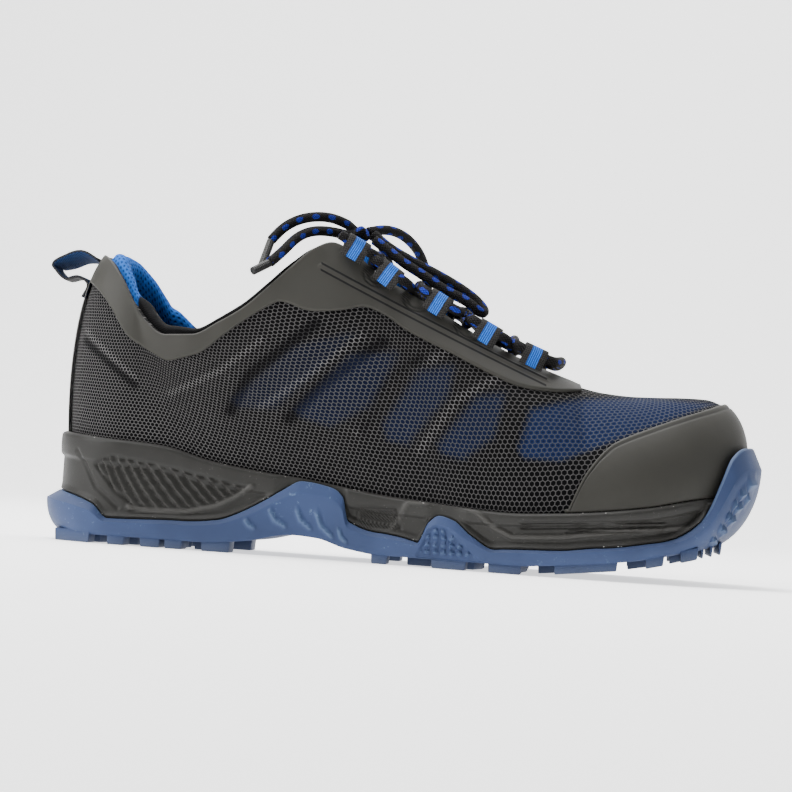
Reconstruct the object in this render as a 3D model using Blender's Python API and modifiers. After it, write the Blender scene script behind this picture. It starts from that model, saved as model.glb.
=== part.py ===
"""A low safety sneaker for the right foot, standing empty on its sole.

X runs from the heel to the toe, Y to the inner side and Z up. The origin is
on the floor in the middle of the shoe. Every piece is worked out from one
walk round the shoe: a station r runs from -1 at the toe along the outer side
to 0 at the heel and along the inner side to 1 at the toe again.
"""

from collections import namedtuple
from math import acos, asin, cos, pi, radians, sin

import bmesh
import bpy
from mathutils import Vector

MM = 0.001

# Main sizes of the shoe
LENGTH = 297.5 * MM
BALL_WIDTH = 108 * MM
INSTEP = 129.8 * MM
HEEL_HEIGHT = 120.2 * MM
HEEL_STACK = 45.5 * MM
BALL_STACK = 24.2 * MM
TOE_STACK = 37 * MM
TAB_REACH = 5 * MM

# Walls, gaps and layers
GAP = 0.3 * MM
UPPER_WALL = 2 * MM
FILM_WALL = 1 * MM
FILM_GAP = 0.4 * MM
LUG_DEPTH = 3.5 * MM
ARCH_LIFT = 5.5 * MM
FLOOR_WALL = 3 * MM
CUP_WALL = 3 * MM
CUP_LIP = 1.4 * MM
BUMPER_HEIGHT = 57.5 * MM
ARCH_FIN = 31 * MM
BALL_FIN = 21 * MM
CUP_HEIGHT = 10 * MM
BURIED_PLAY = 0.7 * MM
TOE_PLAY = 0.8 * MM
FIN_PLAY = 0.9 * MM
WAIST = 1.3 * MM
SOCK_DEPTH = 4 * MM
INSOLE_WALL = 4 * MM

# Collar, tongue, laces and pull loop
COLLAR_ROLL = 5 * MM
COLLAR_PAD = 9 * MM
INNER_COLLAR_FORWARD = 4 * MM
INNER_COLLAR_UP = 2 * MM
TONGUE_PAD = 6 * MM
TONGUE_CROWN = 0.2 * MM
TONGUE_REACH = 9 * MM
TONGUE_DROP = 1 * MM
TONGUE_LEAST = 1 * MM
LACE = 4.2 * MM
LOOP_WIDTH = 12 * MM
LOOP_WALL = 1 * MM
LOOP_CLEARANCE = 0.55 * MM
LOOP_STAND = 1 * MM
LACE_STRAIGHT = 2.2 * MM
LACE_LIFT = 0.3 * MM
CROSSING_RISE = 2.25 * MM
FRONT_BAR = 3 * MM
TAB_WIDTH = 13 * MM
TAB_WALL = 1.3 * MM
TAB_UPS = (0.955, 0.80, 0.70)

# Where the round ends begin, as shares of the length and of the way round
HEEL_END, TOE_END = 0.125, 0.80
HEEL_TURN, TOE_TURN = 0.2, 0.8
HEEL_SQUARE, TOE_SQUARE = 2.2, 2.3
ORIGIN_X = (LENGTH - TAB_REACH) / 2
WIDEST_STEP = 0.042
TOE_PLAY_START = 0.85
SHOWN_BAND = 5 * MM

# Shares of the way up the wall at which the upper has its rows of points
UPS = (0, 0.15, 0.33, 0.52, 0.70, 0.87, 1)

# Sole outline: centre line and half width as shares of the ball width
Outline = namedtuple("Outline", "along centre half")
OUTLINE = (
    Outline(0.00, 0.000, 0.360),
    Outline(0.12, -0.005, 0.365),
    Outline(0.25, -0.015, 0.357),
    Outline(0.38, -0.030, 0.337),
    Outline(0.50, -0.038, 0.368),
    Outline(0.60, -0.030, 0.435),
    Outline(0.69, -0.012, 0.488),
    Outline(0.76, 0.002, 0.498),
    Outline(0.86, 0.016, 0.480),
    Outline(1.00, 0.040, 0.430),
)

# Height of the line where upper and sole meet, each share of its own stack
Bite = namedtuple("Bite", "along heel ball toe")
BITE = (
    Bite(0.00, 1.00, 0.00, 0.00),
    Bite(0.08, 0.955, 0.00, 0.00),
    Bite(0.18, 0.915, 0.00, 0.00),
    Bite(0.25, 0.54, 0.50, 0.00),
    Bite(0.31, 0.34, 0.77, 0.00),
    Bite(0.40, 0.17, 0.97, 0.00),
    Bite(0.51, 0.05, 1.02, 0.00),
    Bite(0.65, 0.00, 1.00, 0.00),
    Bite(0.73, 0.00, 0.82, 0.15),
    Bite(0.85, 0.00, 0.35, 0.58),
    Bite(0.93, 0.00, 0.05, 0.91),
    Bite(1.00, 0.00, 0.00, 1.00),
)

# Rise of the tread off the floor at the toe, as shares of the toe stack, and
# the lift of the arch as shares of its own size
Tread = namedtuple("Tread", "along spring arch")
TREAD = (
    Tread(0.00, 0.000, 0.00),
    Tread(0.24, 0.000, 0.00),
    Tread(0.30, 0.000, 0.30),
    Tread(0.365, 0.000, 1.00),
    Tread(0.40, 0.000, 0.90),
    Tread(0.442, 0.000, 0.30),
    Tread(0.49, 0.000, 0.00),
    Tread(0.68, 0.000, 0.00),
    Tread(0.714, 0.022, 0.00),
    Tread(0.767, 0.068, 0.00),
    Tread(0.822, 0.124, 0.00),
    Tread(0.852, 0.168, 0.00),
    Tread(0.901, 0.262, 0.00),
    Tread(0.940, 0.340, 0.00),
    Tread(1.000, 0.500, 0.00),
)

# Top edge of the blue cup: shares of cup height, arch fin, ball fin, bumper
Cup = namedtuple("Cup", "along cup arch ball bumper")
CUP = (
    Cup(0.000, 2.10, 0.00, 0.00, 0.00),
    Cup(0.050, 1.85, 0.00, 0.00, 0.00),
    Cup(0.083, 1.57, 0.00, 0.00, 0.00),
    Cup(0.109, 1.05, 0.00, 0.00, 0.00),
    Cup(0.214, 1.15, 0.00, 0.00, 0.00),
    Cup(0.262, 1.10, 0.06, 0.00, 0.00),
    Cup(0.296, 0.60, 0.35, 0.00, 0.00),
    Cup(0.336, 0.20, 0.71, 0.00, 0.00),
    Cup(0.349, 0.12, 0.82, 0.00, 0.00),
    Cup(0.376, 0.00, 1.00, 0.00, 0.00),
    Cup(0.417, 0.00, 0.94, 0.00, 0.00),
    Cup(0.432, 0.10, 0.80, 0.00, 0.00),
    Cup(0.442, 1.30, 0.10, 0.00, 0.00),
    Cup(0.480, 1.25, 0.00, 0.00, 0.00),
    Cup(0.538, 0.96, 0.00, 0.00, 0.00),
    Cup(0.553, 0.20, 0.00, 0.78, 0.00),
    Cup(0.566, 0.00, 0.00, 1.00, 0.00),
    Cup(0.585, 0.05, 0.00, 0.91, 0.00),
    Cup(0.612, 0.45, 0.00, 0.44, 0.00),
    Cup(0.645, 0.92, 0.00, 0.00, 0.00),
    Cup(0.732, 1.06, 0.00, 0.00, 0.00),
    Cup(0.784, 1.20, 0.00, 0.00, 0.01),
    Cup(0.844, 0.90, 0.00, 0.00, 0.11),
    Cup(0.885, 0.50, 0.00, 0.00, 0.23),
    Cup(0.912, 0.30, 0.00, 0.00, 0.35),
    Cup(0.932, 0.10, 0.00, 0.00, 0.50),
    Cup(0.950, 0.00, 0.00, 0.00, 0.73),
    Cup(0.965, 0.00, 0.00, 0.00, 0.91),
    Cup(0.983, 0.00, 0.00, 0.00, 0.985),
    Cup(1.000, 0.00, 0.00, 0.00, 1.00),
)

# Side of the sole in shares of the ball width, measured in from the outline:
# the lower edge, the cup's top edge, the midsole's edge and the upper's foot
Side = namedtuple("Side", "along under lip edge foot")
SIDE = (
    Side(0.00, 0.085, 0.050, 0.043, 0.079),
    Side(0.05, 0.045, 0.040, 0.036, 0.070),
    Side(0.12, 0.020, 0.020, 0.026, 0.058),
    Side(0.30, 0.015, 0.012, 0.020, 0.052),
    Side(0.80, 0.018, 0.012, 0.020, 0.052),
    Side(0.88, 0.045, 0.016, 0.030, 0.064),
    Side(0.95, 0.120, 0.026, 0.056, 0.086),
    Side(1.00, 0.230, 0.037, 0.066, 0.101),
)

# The upper's wall at each share of the way round. Its top edge is the collar,
# then the throat, then the ridge over the toes: place along the length, half
# width as a share of the ball width, and height as a share of the instep or,
# towards the heel, of the heel height. Lean, rise and shoulder shape the wall
# between foot and top edge, as shares of the instep, and pitch is the slope
# in degrees at which it reaches the top edge.
Wall = namedtuple("Wall", "around along half height lean rise shoulder pitch")
WALL = (
    Wall(0.000, 0.058, 0.000, 1.000, 0.020, 0.21, 0.14, 52),
    Wall(0.050, 0.063, 0.080, 0.990, 0.020, 0.21, 0.14, 55),
    Wall(0.100, 0.078, 0.160, 0.958, 0.020, 0.20, 0.14, 60),
    Wall(0.150, 0.100, 0.222, 0.886, 0.022, 0.19, 0.14, 68),
    Wall(0.200, 0.120, 0.262, 0.805, 0.024, 0.18, 0.13, 74),
    Wall(0.250, 0.141, 0.290, 0.738, 0.024, 0.16, 0.12, 78),
    Wall(0.300, 0.171, 0.310, 0.692, 0.024, 0.15, 0.12, 80),
    Wall(0.350, 0.208, 0.322, 0.692, 0.022, 0.15, 0.12, 80),
    Wall(0.400, 0.243, 0.320, 0.731, 0.020, 0.16, 0.13, 76),
    Wall(0.440, 0.275, 0.306, 0.778, 0.020, 0.18, 0.15, 72),
    Wall(0.480, 0.309, 0.286, 0.850, 0.020, 0.20, 0.18, 66),
    Wall(0.510, 0.336, 0.262, 0.913, 0.020, 0.22, 0.20, 62),
    Wall(0.540, 0.363, 0.226, 0.975, 0.020, 0.23, 0.22, 57),
    Wall(0.560, 0.386, 0.186, 1.000, 0.020, 0.24, 0.23, 52),
    Wall(0.580, 0.411, 0.158, 0.977, 0.020, 0.24, 0.23, 48),
    Wall(0.600, 0.448, 0.148, 0.913, 0.020, 0.24, 0.22, 45),
    Wall(0.640, 0.521, 0.139, 0.824, 0.020, 0.22, 0.20, 40),
    Wall(0.680, 0.599, 0.130, 0.727, 0.020, 0.20, 0.18, 32),
    Wall(0.710, 0.656, 0.116, 0.668, 0.020, 0.19, 0.17, 26),
    Wall(0.735, 0.699, 0.088, 0.632, 0.020, 0.19, 0.17, 20),
    Wall(0.755, 0.728, 0.040, 0.611, 0.020, 0.19, 0.18, 14),
    Wall(0.765, 0.739, 0.000, 0.603, 0.020, 0.19, 0.19, 10),
    Wall(0.800, 0.775, 0.000, 0.588, 0.022, 0.19, 0.20, 6),
    Wall(0.840, 0.813, 0.000, 0.583, 0.026, 0.19, 0.20, 3),
    Wall(0.880, 0.847, 0.000, 0.585, 0.034, 0.19, 0.20, 0),
    Wall(0.920, 0.875, 0.000, 0.588, 0.046, 0.18, 0.19, -2),
    Wall(0.960, 0.895, 0.000, 0.589, 0.058, 0.16, 0.17, -3),
    Wall(1.000, 0.907, 0.000, 0.589, 0.064, 0.15, 0.15, -4),
)
THROAT_TOP, THROAT_FRONT = 0.56, 0.765
LEAST_BAND = 0.02
TONGUE_FRONT = 0.80
TONGUE_UPS = (0.84, 0.93, 1)

# Upper edge of the toe cap, as a share of the way up the wall
Seam = namedtuple("Seam", "around up")
TOE_CAP = (
    Seam(0.742, 0.03),
    Seam(0.765, 0.25),
    Seam(0.800, 0.43),
    Seam(0.840, 0.53),
    Seam(0.880, 0.60),
    Seam(0.920, 0.68),
    Seam(0.960, 0.76),
    Seam(1.000, 0.80),
)

# Lower edge of the film round the collar and down the eyestay
FILM = (
    Seam(0.000, 0.79),
    Seam(0.080, 0.78),
    Seam(0.143, 0.765),
    Seam(0.199, 0.70),
    Seam(0.260, 0.74),
    Seam(0.327, 0.81),
    Seam(0.375, 0.865),
    Seam(0.445, 0.92),
    Seam(0.480, 0.90),
    Seam(0.508, 0.78),
    Seam(0.545, 0.72),
    Seam(0.600, 0.708),
    Seam(0.690, 0.71),
    Seam(0.733, 0.775),
    Seam(0.765, 0.88),
)

# Tread blocks of the sole's edge: where each starts and ends along the length
Block = namedtuple("Block", "start end")
EDGE_BLOCKS = (
    Block(0.030, 0.087),
    Block(0.112, 0.137),
    Block(0.158, 0.186),
    Block(0.192, 0.217),
    Block(0.243, 0.283),
    Block(0.477, 0.500),
    Block(0.560, 0.608),
    Block(0.637, 0.682),
    Block(0.725, 0.809),
    Block(0.845, 0.870),
    Block(0.891, 0.915),
)
MIDDLE_BLOCKS = (
    Block(0.045, 0.080),
    Block(0.104, 0.134),
    Block(0.158, 0.188),
    Block(0.212, 0.242),
    Block(0.510, 0.545),
    Block(0.570, 0.605),
    Block(0.630, 0.665),
    Block(0.690, 0.725),
    Block(0.750, 0.785),
    Block(0.810, 0.840),
    Block(0.866, 0.890),
)
EDGE_BAND = (0.62, 0.955)
MIDDLE_BAND = (0.08, 0.50)
CHEVRON = 0.022

# Slanted ribs of the heel panel and of the arch fin, along the length
PANEL = Block(0.092, 0.312)
PANEL_SLOTS = 9
PANEL_SLANT = 0.030
FIN_RIBS = (0.308, 0.334, 0.358, 0.384)
FIN_SLANT = 0.014
RELIEF = 1.1 * MM
SLOT_DEPTH = 1.65 * MM
SLOT_WIDTH, RIB_WIDTH = 0.013, 0.006
RIB_LENGTH = 10 * MM
RIB_MARGIN = 3 * MM

# Webbing loops of the lacing, from the ankle to the toe, round the way
LOOPS = (0.574, 0.602, 0.642, 0.679, 0.715)
LOOP_UP = 0.95
LOOP_SIDES = 10
LOOP_OVAL = 1.35

# Lace ends and bow, in millimetres from the origin: they follow no other size
KNOT = Vector((-23, -2, 136.4)) * MM
BOW_FRONT = (
    (-16.3, -2, 136.6), (-9.5, -2.8, 131.4), (1, -3.3, 126), (15, -4, 119.6), (25.5, -4.5, 113.8),
    (31, -5.2, 109.3), (33.5, -7.5, 105.8), (31, -10.3, 105.4), (26.5, -11.2, 109.6), (17.5, -11.2, 113.4),
    (9, -10.5, 118.3), (4.5, -9.8, 121), (-2, -9, 124.5), (-8, -8, 128.8), (-15.2, -7, 133.6),
)
BOW_INNER = (
    (-19, 1.1, 137.9), (-12, 8, 140), (-5, 17, 138.5), (1, 27, 132.5), (4, 35, 123), (4.5, 39.5, 112),
    (1, 41, 105.5), (-4.5, 40, 107), (-8.5, 37, 115), (-11.5, 31, 124.5), (-14.5, 23, 133.5),
    (-18, 13, 137.5), (-20.5, 6.5, 137.5),
)
END_HIGH = (
    (-27.5, -2.5, 140), (-33, -5, 142), (-40, -8.5, 142), (-47, -11.5, 140), (-53, -14.5, 135.8),
    (-57.2, -17, 130.2),
)
END_LOW = (
    (-28.5, -5.5, 135.5), (-35, -10, 136), (-41.5, -15.5, 134.8), (-46.5, -21, 131), (-50.5, -26.5, 125),
    (-55, -31, 119.5),
)
AGLET_HIGH = ((-57.4, -17.3, 129.7), (-60, -22, 118))
AGLET_LOW = ((-55.4, -31.4, 119.1), (-61, -36.5, 115))
AGLET = 3.4 * MM
LACE_STEP = 7 * MM
KNOT_SIZE = (10.5 * MM, 9 * MM, 7.5 * MM)


def read(table, column, at):
    """One column of a table at a place in its first column, on a smooth curve through the rows."""
    places = [row[0] for row in table]
    values = [getattr(row, column) for row in table]
    if at <= places[0]:
        return values[0]
    if at >= places[-1]:
        return values[-1]
    i = max(k for k in range(len(places) - 1) if places[k] <= at)
    steps = [b - a for a, b in zip(places, places[1:])]
    rates = [(b - a) / step for a, b, step in zip(values, values[1:], steps)]

    def slope(k):
        if k == 0 or k == len(places) - 1:
            return rates[min(k, len(rates) - 1)]
        before, after = rates[k - 1], rates[k]
        return 0 if before * after <= 0 else 2 * before * after / (before + after)

    t = (at - places[i]) / steps[i]
    start, end = slope(i) * steps[i], slope(i + 1) * steps[i]
    return (
        values[i] * (1 + 2 * t) * (1 - t) ** 2
        + start * t * (1 - t) ** 2
        + values[i + 1] * t * t * (3 - 2 * t)
        + end * t * t * (t - 1)
    )


def wrapped(r):
    """A station kept between -1 and 1, past the toe onto the other side."""
    return (r + 1) % 2 - 1


def along(around):
    """Share of the length at a share of the way round from heel to toe."""
    if around < HEEL_TURN:
        return HEEL_END * (1 - cos(pi / 2 * around / HEEL_TURN))
    if around > TOE_TURN:
        return TOE_END + (1 - TOE_END) * sin(pi / 2 * (around - TOE_TURN) / (1 - TOE_TURN))
    return HEEL_END + (TOE_END - HEEL_END) * (around - HEEL_TURN) / (TOE_TURN - HEEL_TURN)


def around(share):
    """Share of the way round at a share of the length: along, turned round."""
    if share < HEEL_END:
        return HEEL_TURN * acos(1 - share / HEEL_END) * 2 / pi
    if share > TOE_END:
        return TOE_TURN + (1 - TOE_TURN) * asin(min(1, (share - TOE_END) / (1 - TOE_END))) * 2 / pi
    return HEEL_TURN + (TOE_TURN - HEEL_TURN) * (share - HEEL_END) / (TOE_END - HEEL_END)


def roundness(share):
    """How much of its half width the sole keeps in its round ends."""
    if share < HEEL_END:
        return (1 - ((HEEL_END - share) / HEEL_END) ** HEEL_SQUARE) ** (1 / HEEL_SQUARE)
    if share > TOE_END:
        past = min(1, (share - TOE_END) / (1 - TOE_END))
        return (1 - past**TOE_SQUARE) ** (1 / TOE_SQUARE)
    return 1


def x_at(share):
    return LENGTH * share - ORIGIN_X


def share_at(x):
    return min(1, max(0, (x + ORIGIN_X) / LENGTH))


def edge(r):
    """The sole's outline in plan at a station."""
    r = wrapped(r)
    share = along(abs(r))
    half = read(OUTLINE, "half", share) * BALL_WIDTH * roundness(share)
    centre = read(OUTLINE, "centre", share) * BALL_WIDTH
    return Vector((x_at(share), centre + (half if r > 0 else -half), 0))


def outward(r):
    """Level direction straight out of the outline at a station."""
    step = 0.004
    way = edge(r + step) - edge(r - step)
    return Vector((-way.y, way.x, 0)).normalized()


def inside(r, inset, height):
    """The point a distance inside the outline, at a height."""
    point = edge(r) - outward(r) * inset
    return Vector((point.x, point.y, height))


def tread(share):
    return read(TREAD, "spring", share) * TOE_STACK


def floor(share):
    """Height of the outsole's underside between its blocks."""
    return tread(share) + LUG_DEPTH + read(TREAD, "arch", share) * ARCH_LIFT


def bite(r):
    share = along(abs(wrapped(r)))
    return (
        read(BITE, "heel", share) * HEEL_STACK
        + read(BITE, "ball", share) * BALL_STACK
        + read(BITE, "toe", share) * TOE_STACK
    )


def rim(r):
    """Height of the cup's top edge, fins and bumper included."""
    share = along(abs(wrapped(r)))
    return (
        read(CUP, "cup", share) * CUP_HEIGHT
        + read(CUP, "arch", share) * ARCH_FIN
        + read(CUP, "ball", share) * BALL_FIN
        + read(CUP, "bumper", share) * BUMPER_HEIGHT
    )


def side(r, column):
    return read(SIDE, column, along(abs(wrapped(r)))) * BALL_WIDTH


def cup_levels(r):
    """Inset of the lower edge, its height, and the height where the cup is widest."""
    under = side(r, "under")
    low = floor(share_at(inside(r, under, 0).x))
    return under, low, low + (rim(r) - low) * 0.8


def cup_face(r, turn):
    """Outer face of the cup, turn degrees up from its lower edge."""
    under, low, widest = cup_levels(r)
    swing = radians(turn)
    return under * (1 - sin(swing)), low + (widest - low) * (1 - cos(swing))


def hollow_knots(r):
    """Heights and insets of the cup's inner face, from the floor up: it runs straight between them."""
    under, low, widest = cup_levels(r)
    low += FLOOR_WALL
    knots = []
    for swing in (0, radians(52), radians(88)):
        height = low + (widest - low) * (1 - cos(swing))
        knots.append((height, CUP_WALL + under * (1 - sin(swing))))
    knots.append((rim(r), max(side(r, "lip") + CUP_LIP, 0)))
    return knots


def cup_hollow(r, height):
    """Inset of the cup's inner face at a height."""
    knots = hollow_knots(r)
    for (low, start), (high, end) in zip(knots, knots[1:]):
        if height <= high:
            return start + (end - start) * max(0, height - low) / (high - low)
    return knots[-1][1]


def step_height(r):
    """Where the midsole comes out over the cup's edge, or stops inside the bumper."""
    return min(rim(r) + GAP, bite(r) - SOCK_DEPTH)


def level(way):
    """Height that the wall's shares are taken of, at a share of the way round."""
    return INSTEP + (HEEL_HEIGHT - INSTEP) * max(0, 1 - way / 0.5)


def top_edge(r):
    """The upper's top edge: collar, throat, or ridge."""
    r = wrapped(r)
    way = abs(r)
    x = x_at(read(WALL, "along", way))
    half = read(WALL, "half", way) * BALL_WIDTH
    height = read(WALL, "height", way) * level(way)
    if r > 0 and way < THROAT_TOP:
        swell = sin(pi * way / THROAT_TOP) ** 2
        x += INNER_COLLAR_FORWARD * swell
        height += INNER_COLLAR_UP * swell
    centre = read(OUTLINE, "centre", share_at(x)) * BALL_WIDTH * 0.5
    return Vector((x, centre + (half if r > 0 else -half), height))


def bare_wall(r, up):
    """The upper's outer face: up runs from 0 at its foot to 1 at its top edge."""
    way = abs(wrapped(r))
    foot = inside(r, side(r, "foot"), bite(r) - SOCK_DEPTH + GAP)
    top = top_edge(r)
    out = Vector((foot.x - top.x, foot.y - top.y, 0)).normalized()
    pitch = radians(read(WALL, "pitch", way))
    lean, rise, shoulder = (read(WALL, column, way) * INSTEP for column in ("lean", "rise", "shoulder"))
    low = foot + outward(r) * lean + Vector((0, 0, rise))
    high = top + out * shoulder * cos(pitch) - Vector((0, 0, shoulder * sin(pitch)))
    left = 1 - up
    return foot * left**3 + low * 3 * left * left * up + high * 3 * left * up * up + top * up**3


def wall_normal(r, up):
    step = 0.004
    across = bare_wall(r + step, up) - bare_wall(r - step, up)
    upward = bare_wall(r, min(up + step, 1)) - bare_wall(r, min(up, 1) - step)
    return across.cross(upward).normalized() * -1


def wall(r, up, out=0):
    """A point out from the upper's face, or inside it where out is negative."""
    if up > 1:
        past = bare_wall(r, 1) - bare_wall(r, 0.96)
        base = bare_wall(r, 1) + past * (up - 1) / 0.04
    else:
        base = bare_wall(r, up)
    return base + wall_normal(r, min(up, 1)) * out


def crossing():
    """Share of the way round where the bumper rises past the midsole's step."""
    low, high = 0.82, 1.0
    for _ in range(30):
        middle = (low + high) / 2
        if rim(middle) + GAP < bite(middle) - SOCK_DEPTH:
            low = middle
        else:
            high = middle
    return low


def stations():
    """Shares of the way round for every piece: each turn of the cup's edge, and fill between."""
    marks = {0.0, THROAT_TOP, THROAT_FRONT, crossing(), 1.0}
    for row in CUP:
        mark = around(row.along)
        if min(abs(mark - other) for other in marks) > 0.006:
            marks.add(mark)
    marks = sorted(marks)
    ways = [0.0]
    for a, b in zip(marks, marks[1:]):
        pieces = max(1, round((b - a) / WIDEST_STEP + 0.3))
        ways += [a + (b - a) * k / pieces for k in range(1, pieces + 1)]
    return ways


def both_sides(ways):
    """Stations right round the shoe, from the toe by the outer side and the heel."""
    return [-way for way in reversed(ways)] + [way for way in ways[1:-1]]


def new_object(name, mesh, collection):
    obj = bpy.data.objects.new(name, mesh)
    collection.objects.link(obj)
    return obj


def mesh_of(name, points, faces):
    """A mesh from points and faces, its equal points joined and its faces turned out."""
    mesh = bpy.data.meshes.new(name)
    mesh.from_pydata([tuple(point) for point in points], [], faces)
    shape = bmesh.new()
    shape.from_mesh(mesh)
    bmesh.ops.remove_doubles(shape, verts=shape.verts, dist=1e-6)
    bmesh.ops.dissolve_degenerate(shape, edges=shape.edges, dist=1e-6)
    bmesh.ops.recalc_face_normals(shape, faces=shape.faces)
    shape.to_mesh(mesh)
    shape.free()
    return mesh


def ring_faces(count, depth, closed_depth):
    """Quads round a ring of columns, each depth points long."""
    steps = depth if closed_depth else depth - 1
    return [
        (
            i * depth + j,
            (i + 1) % count * depth + j,
            (i + 1) % count * depth + (j + 1) % depth,
            i * depth + (j + 1) % depth,
        )
        for i in range(count)
        for j in range(steps)
    ]


def slab(name, ways, profile):
    """A solid that follows the outline: a profile at each station, closed straight across."""
    rounds = both_sides(ways)
    columns = [profile(r) for r in rounds]
    depth = len(columns[0])
    points = [point for column in columns for point in column]
    faces = ring_faces(len(rounds), depth, False)
    last = len(ways) - 1
    outer = [last - k for k in range(last + 1)]
    inner = [last + k for k in range(last)] + [0]
    for k in range(last):
        for level_index in (0, depth - 1):
            corners = [outer[k], outer[k + 1], inner[k + 1], inner[k]]
            faces.append(tuple(dict.fromkeys(c * depth + level_index for c in corners)))
    return mesh_of(name, points, faces)


def sheet(name, columns, closed):
    """An open surface from columns of points, closed round where asked."""
    depth = len(columns[0])
    points = [point for column in columns for point in column]
    count = len(columns)
    faces = ring_faces(count, depth, False)
    if not closed:
        faces = faces[: (count - 1) * (depth - 1)]
    return mesh_of(name, points, faces)


def bar(name, sections):
    """A closed solid through sections of equal length, capped at both ends."""
    depth = len(sections[0])
    points = [point for section in sections for point in section]
    faces = ring_faces(len(sections), depth, True)[: (len(sections) - 1) * depth]
    faces.append(tuple(range(depth)))
    faces.append(tuple(range(len(points) - depth, len(points))))
    return mesh_of(name, points, faces)


def joined(name, meshes):
    """One mesh that holds several closed ones."""
    whole = bmesh.new()
    for mesh in meshes:
        whole.from_mesh(mesh)
        bpy.data.meshes.remove(mesh)
    mesh = bpy.data.meshes.new(name)
    whole.to_mesh(mesh)
    whole.free()
    return mesh


def block(corners):
    """A six-sided solid from four low corners and the four above them."""
    faces = [(0, 1, 2, 3), (4, 5, 6, 7), (0, 1, 5, 4), (1, 2, 6, 5), (2, 3, 7, 6), (3, 0, 4, 7)]
    return mesh_of("block", corners, faces)


def boolean(obj, cutter, operation):
    cutter.hide_render = True
    cutter.display_type = "WIRE"
    modifier = obj.modifiers.new(operation.title(), "BOOLEAN")
    modifier.operation = operation
    modifier.object = cutter
    modifier.solver = "EXACT"


def solidify(obj, thickness):
    """Gives an open surface its thickness, inwards of its faces."""
    modifier = obj.modifiers.new("Thickness", "SOLIDIFY")
    modifier.thickness = thickness
    modifier.offset = -1
    modifier.use_even_offset = True


def outsole_profile(r):
    lip = side(r, "lip")
    points = [inside(r, *cup_face(r, turn)) for turn in (0, 45, 90)]
    points += [inside(r, lip, rim(r)), inside(r, lip + CUP_LIP, rim(r))]
    points += [inside(r, inset, height) for height, inset in reversed(hollow_knots(r)[:-1])]
    return points


def midsole_profile(r):
    """Up the cup's inner face, out over its edge, up the shown side, and down the upper's foot."""
    top, step, brim = bite(r), step_height(r), side(r, "edge")
    shown = min(1, max(0, (top - SOCK_DEPTH - rim(r)) / SHOWN_BAND))
    toe_share = max(0, min(1, (along(abs(r)) - TOE_PLAY_START) * 20))
    play = GAP + BURIED_PLAY + TOE_PLAY * toe_share + FIN_PLAY * (1 - shown)
    points = []
    buried = hollow_knots(r)[:-1]
    for k, (low, _) in enumerate(buried):
        height = min(low + play, step - 2 * GAP * (len(buried) - k))
        points.append(inside(r, cup_hollow(r, height - play) + play, height))
    points.append(inside(r, cup_hollow(r, min(step, rim(r))) + play, step))

    def face(inset, share):
        height = step + (top - step) * share
        hidden = cup_hollow(r, height) + play
        if shown < 1 and height < rim(r) + GAP:
            return inside(r, max(inset, hidden), height)
        return inside(r, inset + (hidden - inset) * (1 - shown), height)

    for inset, share in (
        (side(r, "lip"), 0),
        (brim + WAIST, 0.3),
        (brim + WAIST, 0.62),
        (brim, 0.72),
        (brim, 1),
    ):
        points.append(face(inset, share))
    foot, next_row = wall(r, 0, GAP), wall(r, UPS[1], GAP)
    points.append(foot.lerp(next_row, (top - foot.z) / (next_row.z - foot.z)))
    points.append(inside(r, side(r, "foot") - GAP, top - SOCK_DEPTH))
    return points


def insole_profile(r):
    inset = side(r, "foot") + UPPER_WALL + 2 * GAP
    low = bite(r) - SOCK_DEPTH + GAP
    return [
        inside(r, inset, low),
        inside(r, inset, low + INSOLE_WALL),
        inside(r, inset + INSOLE_WALL, low + INSOLE_WALL * 0.8),
    ]


def tread_point(share, across, height):
    half = read(OUTLINE, "half", share) * BALL_WIDTH * roundness(share)
    centre = read(OUTLINE, "centre", share) * BALL_WIDTH
    return Vector((x_at(share), centre + across * half, height))


def tread_block(start, end, near, far, slant):
    """One tread block between two places along and two shares of the half width."""
    corners = []
    for sunk in (False, True):
        for share, across in ((start, near), (end, near), (end, far), (start, far)):
            share += slant * (1 - abs(across))
            height = floor(share) + FLOOR_WALL / 2 if sunk else tread(share)
            corners.append(tread_point(share, across, height))
    return block(corners)


def tread_blocks():
    meshes = []
    for hand in (-1, 1):
        for row in EDGE_BLOCKS:
            meshes.append(tread_block(row.start, row.end, hand * EDGE_BAND[0], hand * EDGE_BAND[1], 0))
        for row in MIDDLE_BLOCKS:
            near, far = (hand * share for share in MIDDLE_BAND)
            meshes.append(tread_block(row.start, row.end, near, far, CHEVRON))
    return joined("tread_blocks", meshes)


def side_bar(r_low, r_high, low, high, width, face, depth):
    """A slanted bar on the sole's side, half sunk: face gives the inset at a station and height."""
    corners = []
    for sink in (-depth, depth):
        for r, height in ((r_low, low), (r_low + width, low), (r_high + width, high), (r_high, high)):
            corners.append(inside(r, face(r, height) + sink, height))
    return block(corners)


def cup_inset(r, height):
    """Inset of the cup's outer face at a height."""
    under, low, widest = cup_levels(r)
    if height >= widest:
        return side(r, "lip") * (height - widest) / (rim(r) - widest)
    swing = acos(max(0, 1 - max(0, height - low) / (widest - low)))
    return under * (1 - sin(swing))


def fin_ribs():
    meshes = []
    for hand in (-1, 1):
        for share in FIN_RIBS:
            low, high = around(share + FIN_SLANT) * hand, around(share) * hand
            base = floor(share + FIN_SLANT) + RIB_MARGIN / 2
            top = min(base + RIB_LENGTH, rim(high) - RIB_MARGIN)
            meshes.append(side_bar(low, high, base, top, RIB_WIDTH * hand, cup_inset, RELIEF))
    return joined("fin_ribs", meshes)


def waist_inset(r, height):
    """Inset of the midsole's waist, the same at every height."""
    return side(r, "edge") + WAIST


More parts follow.
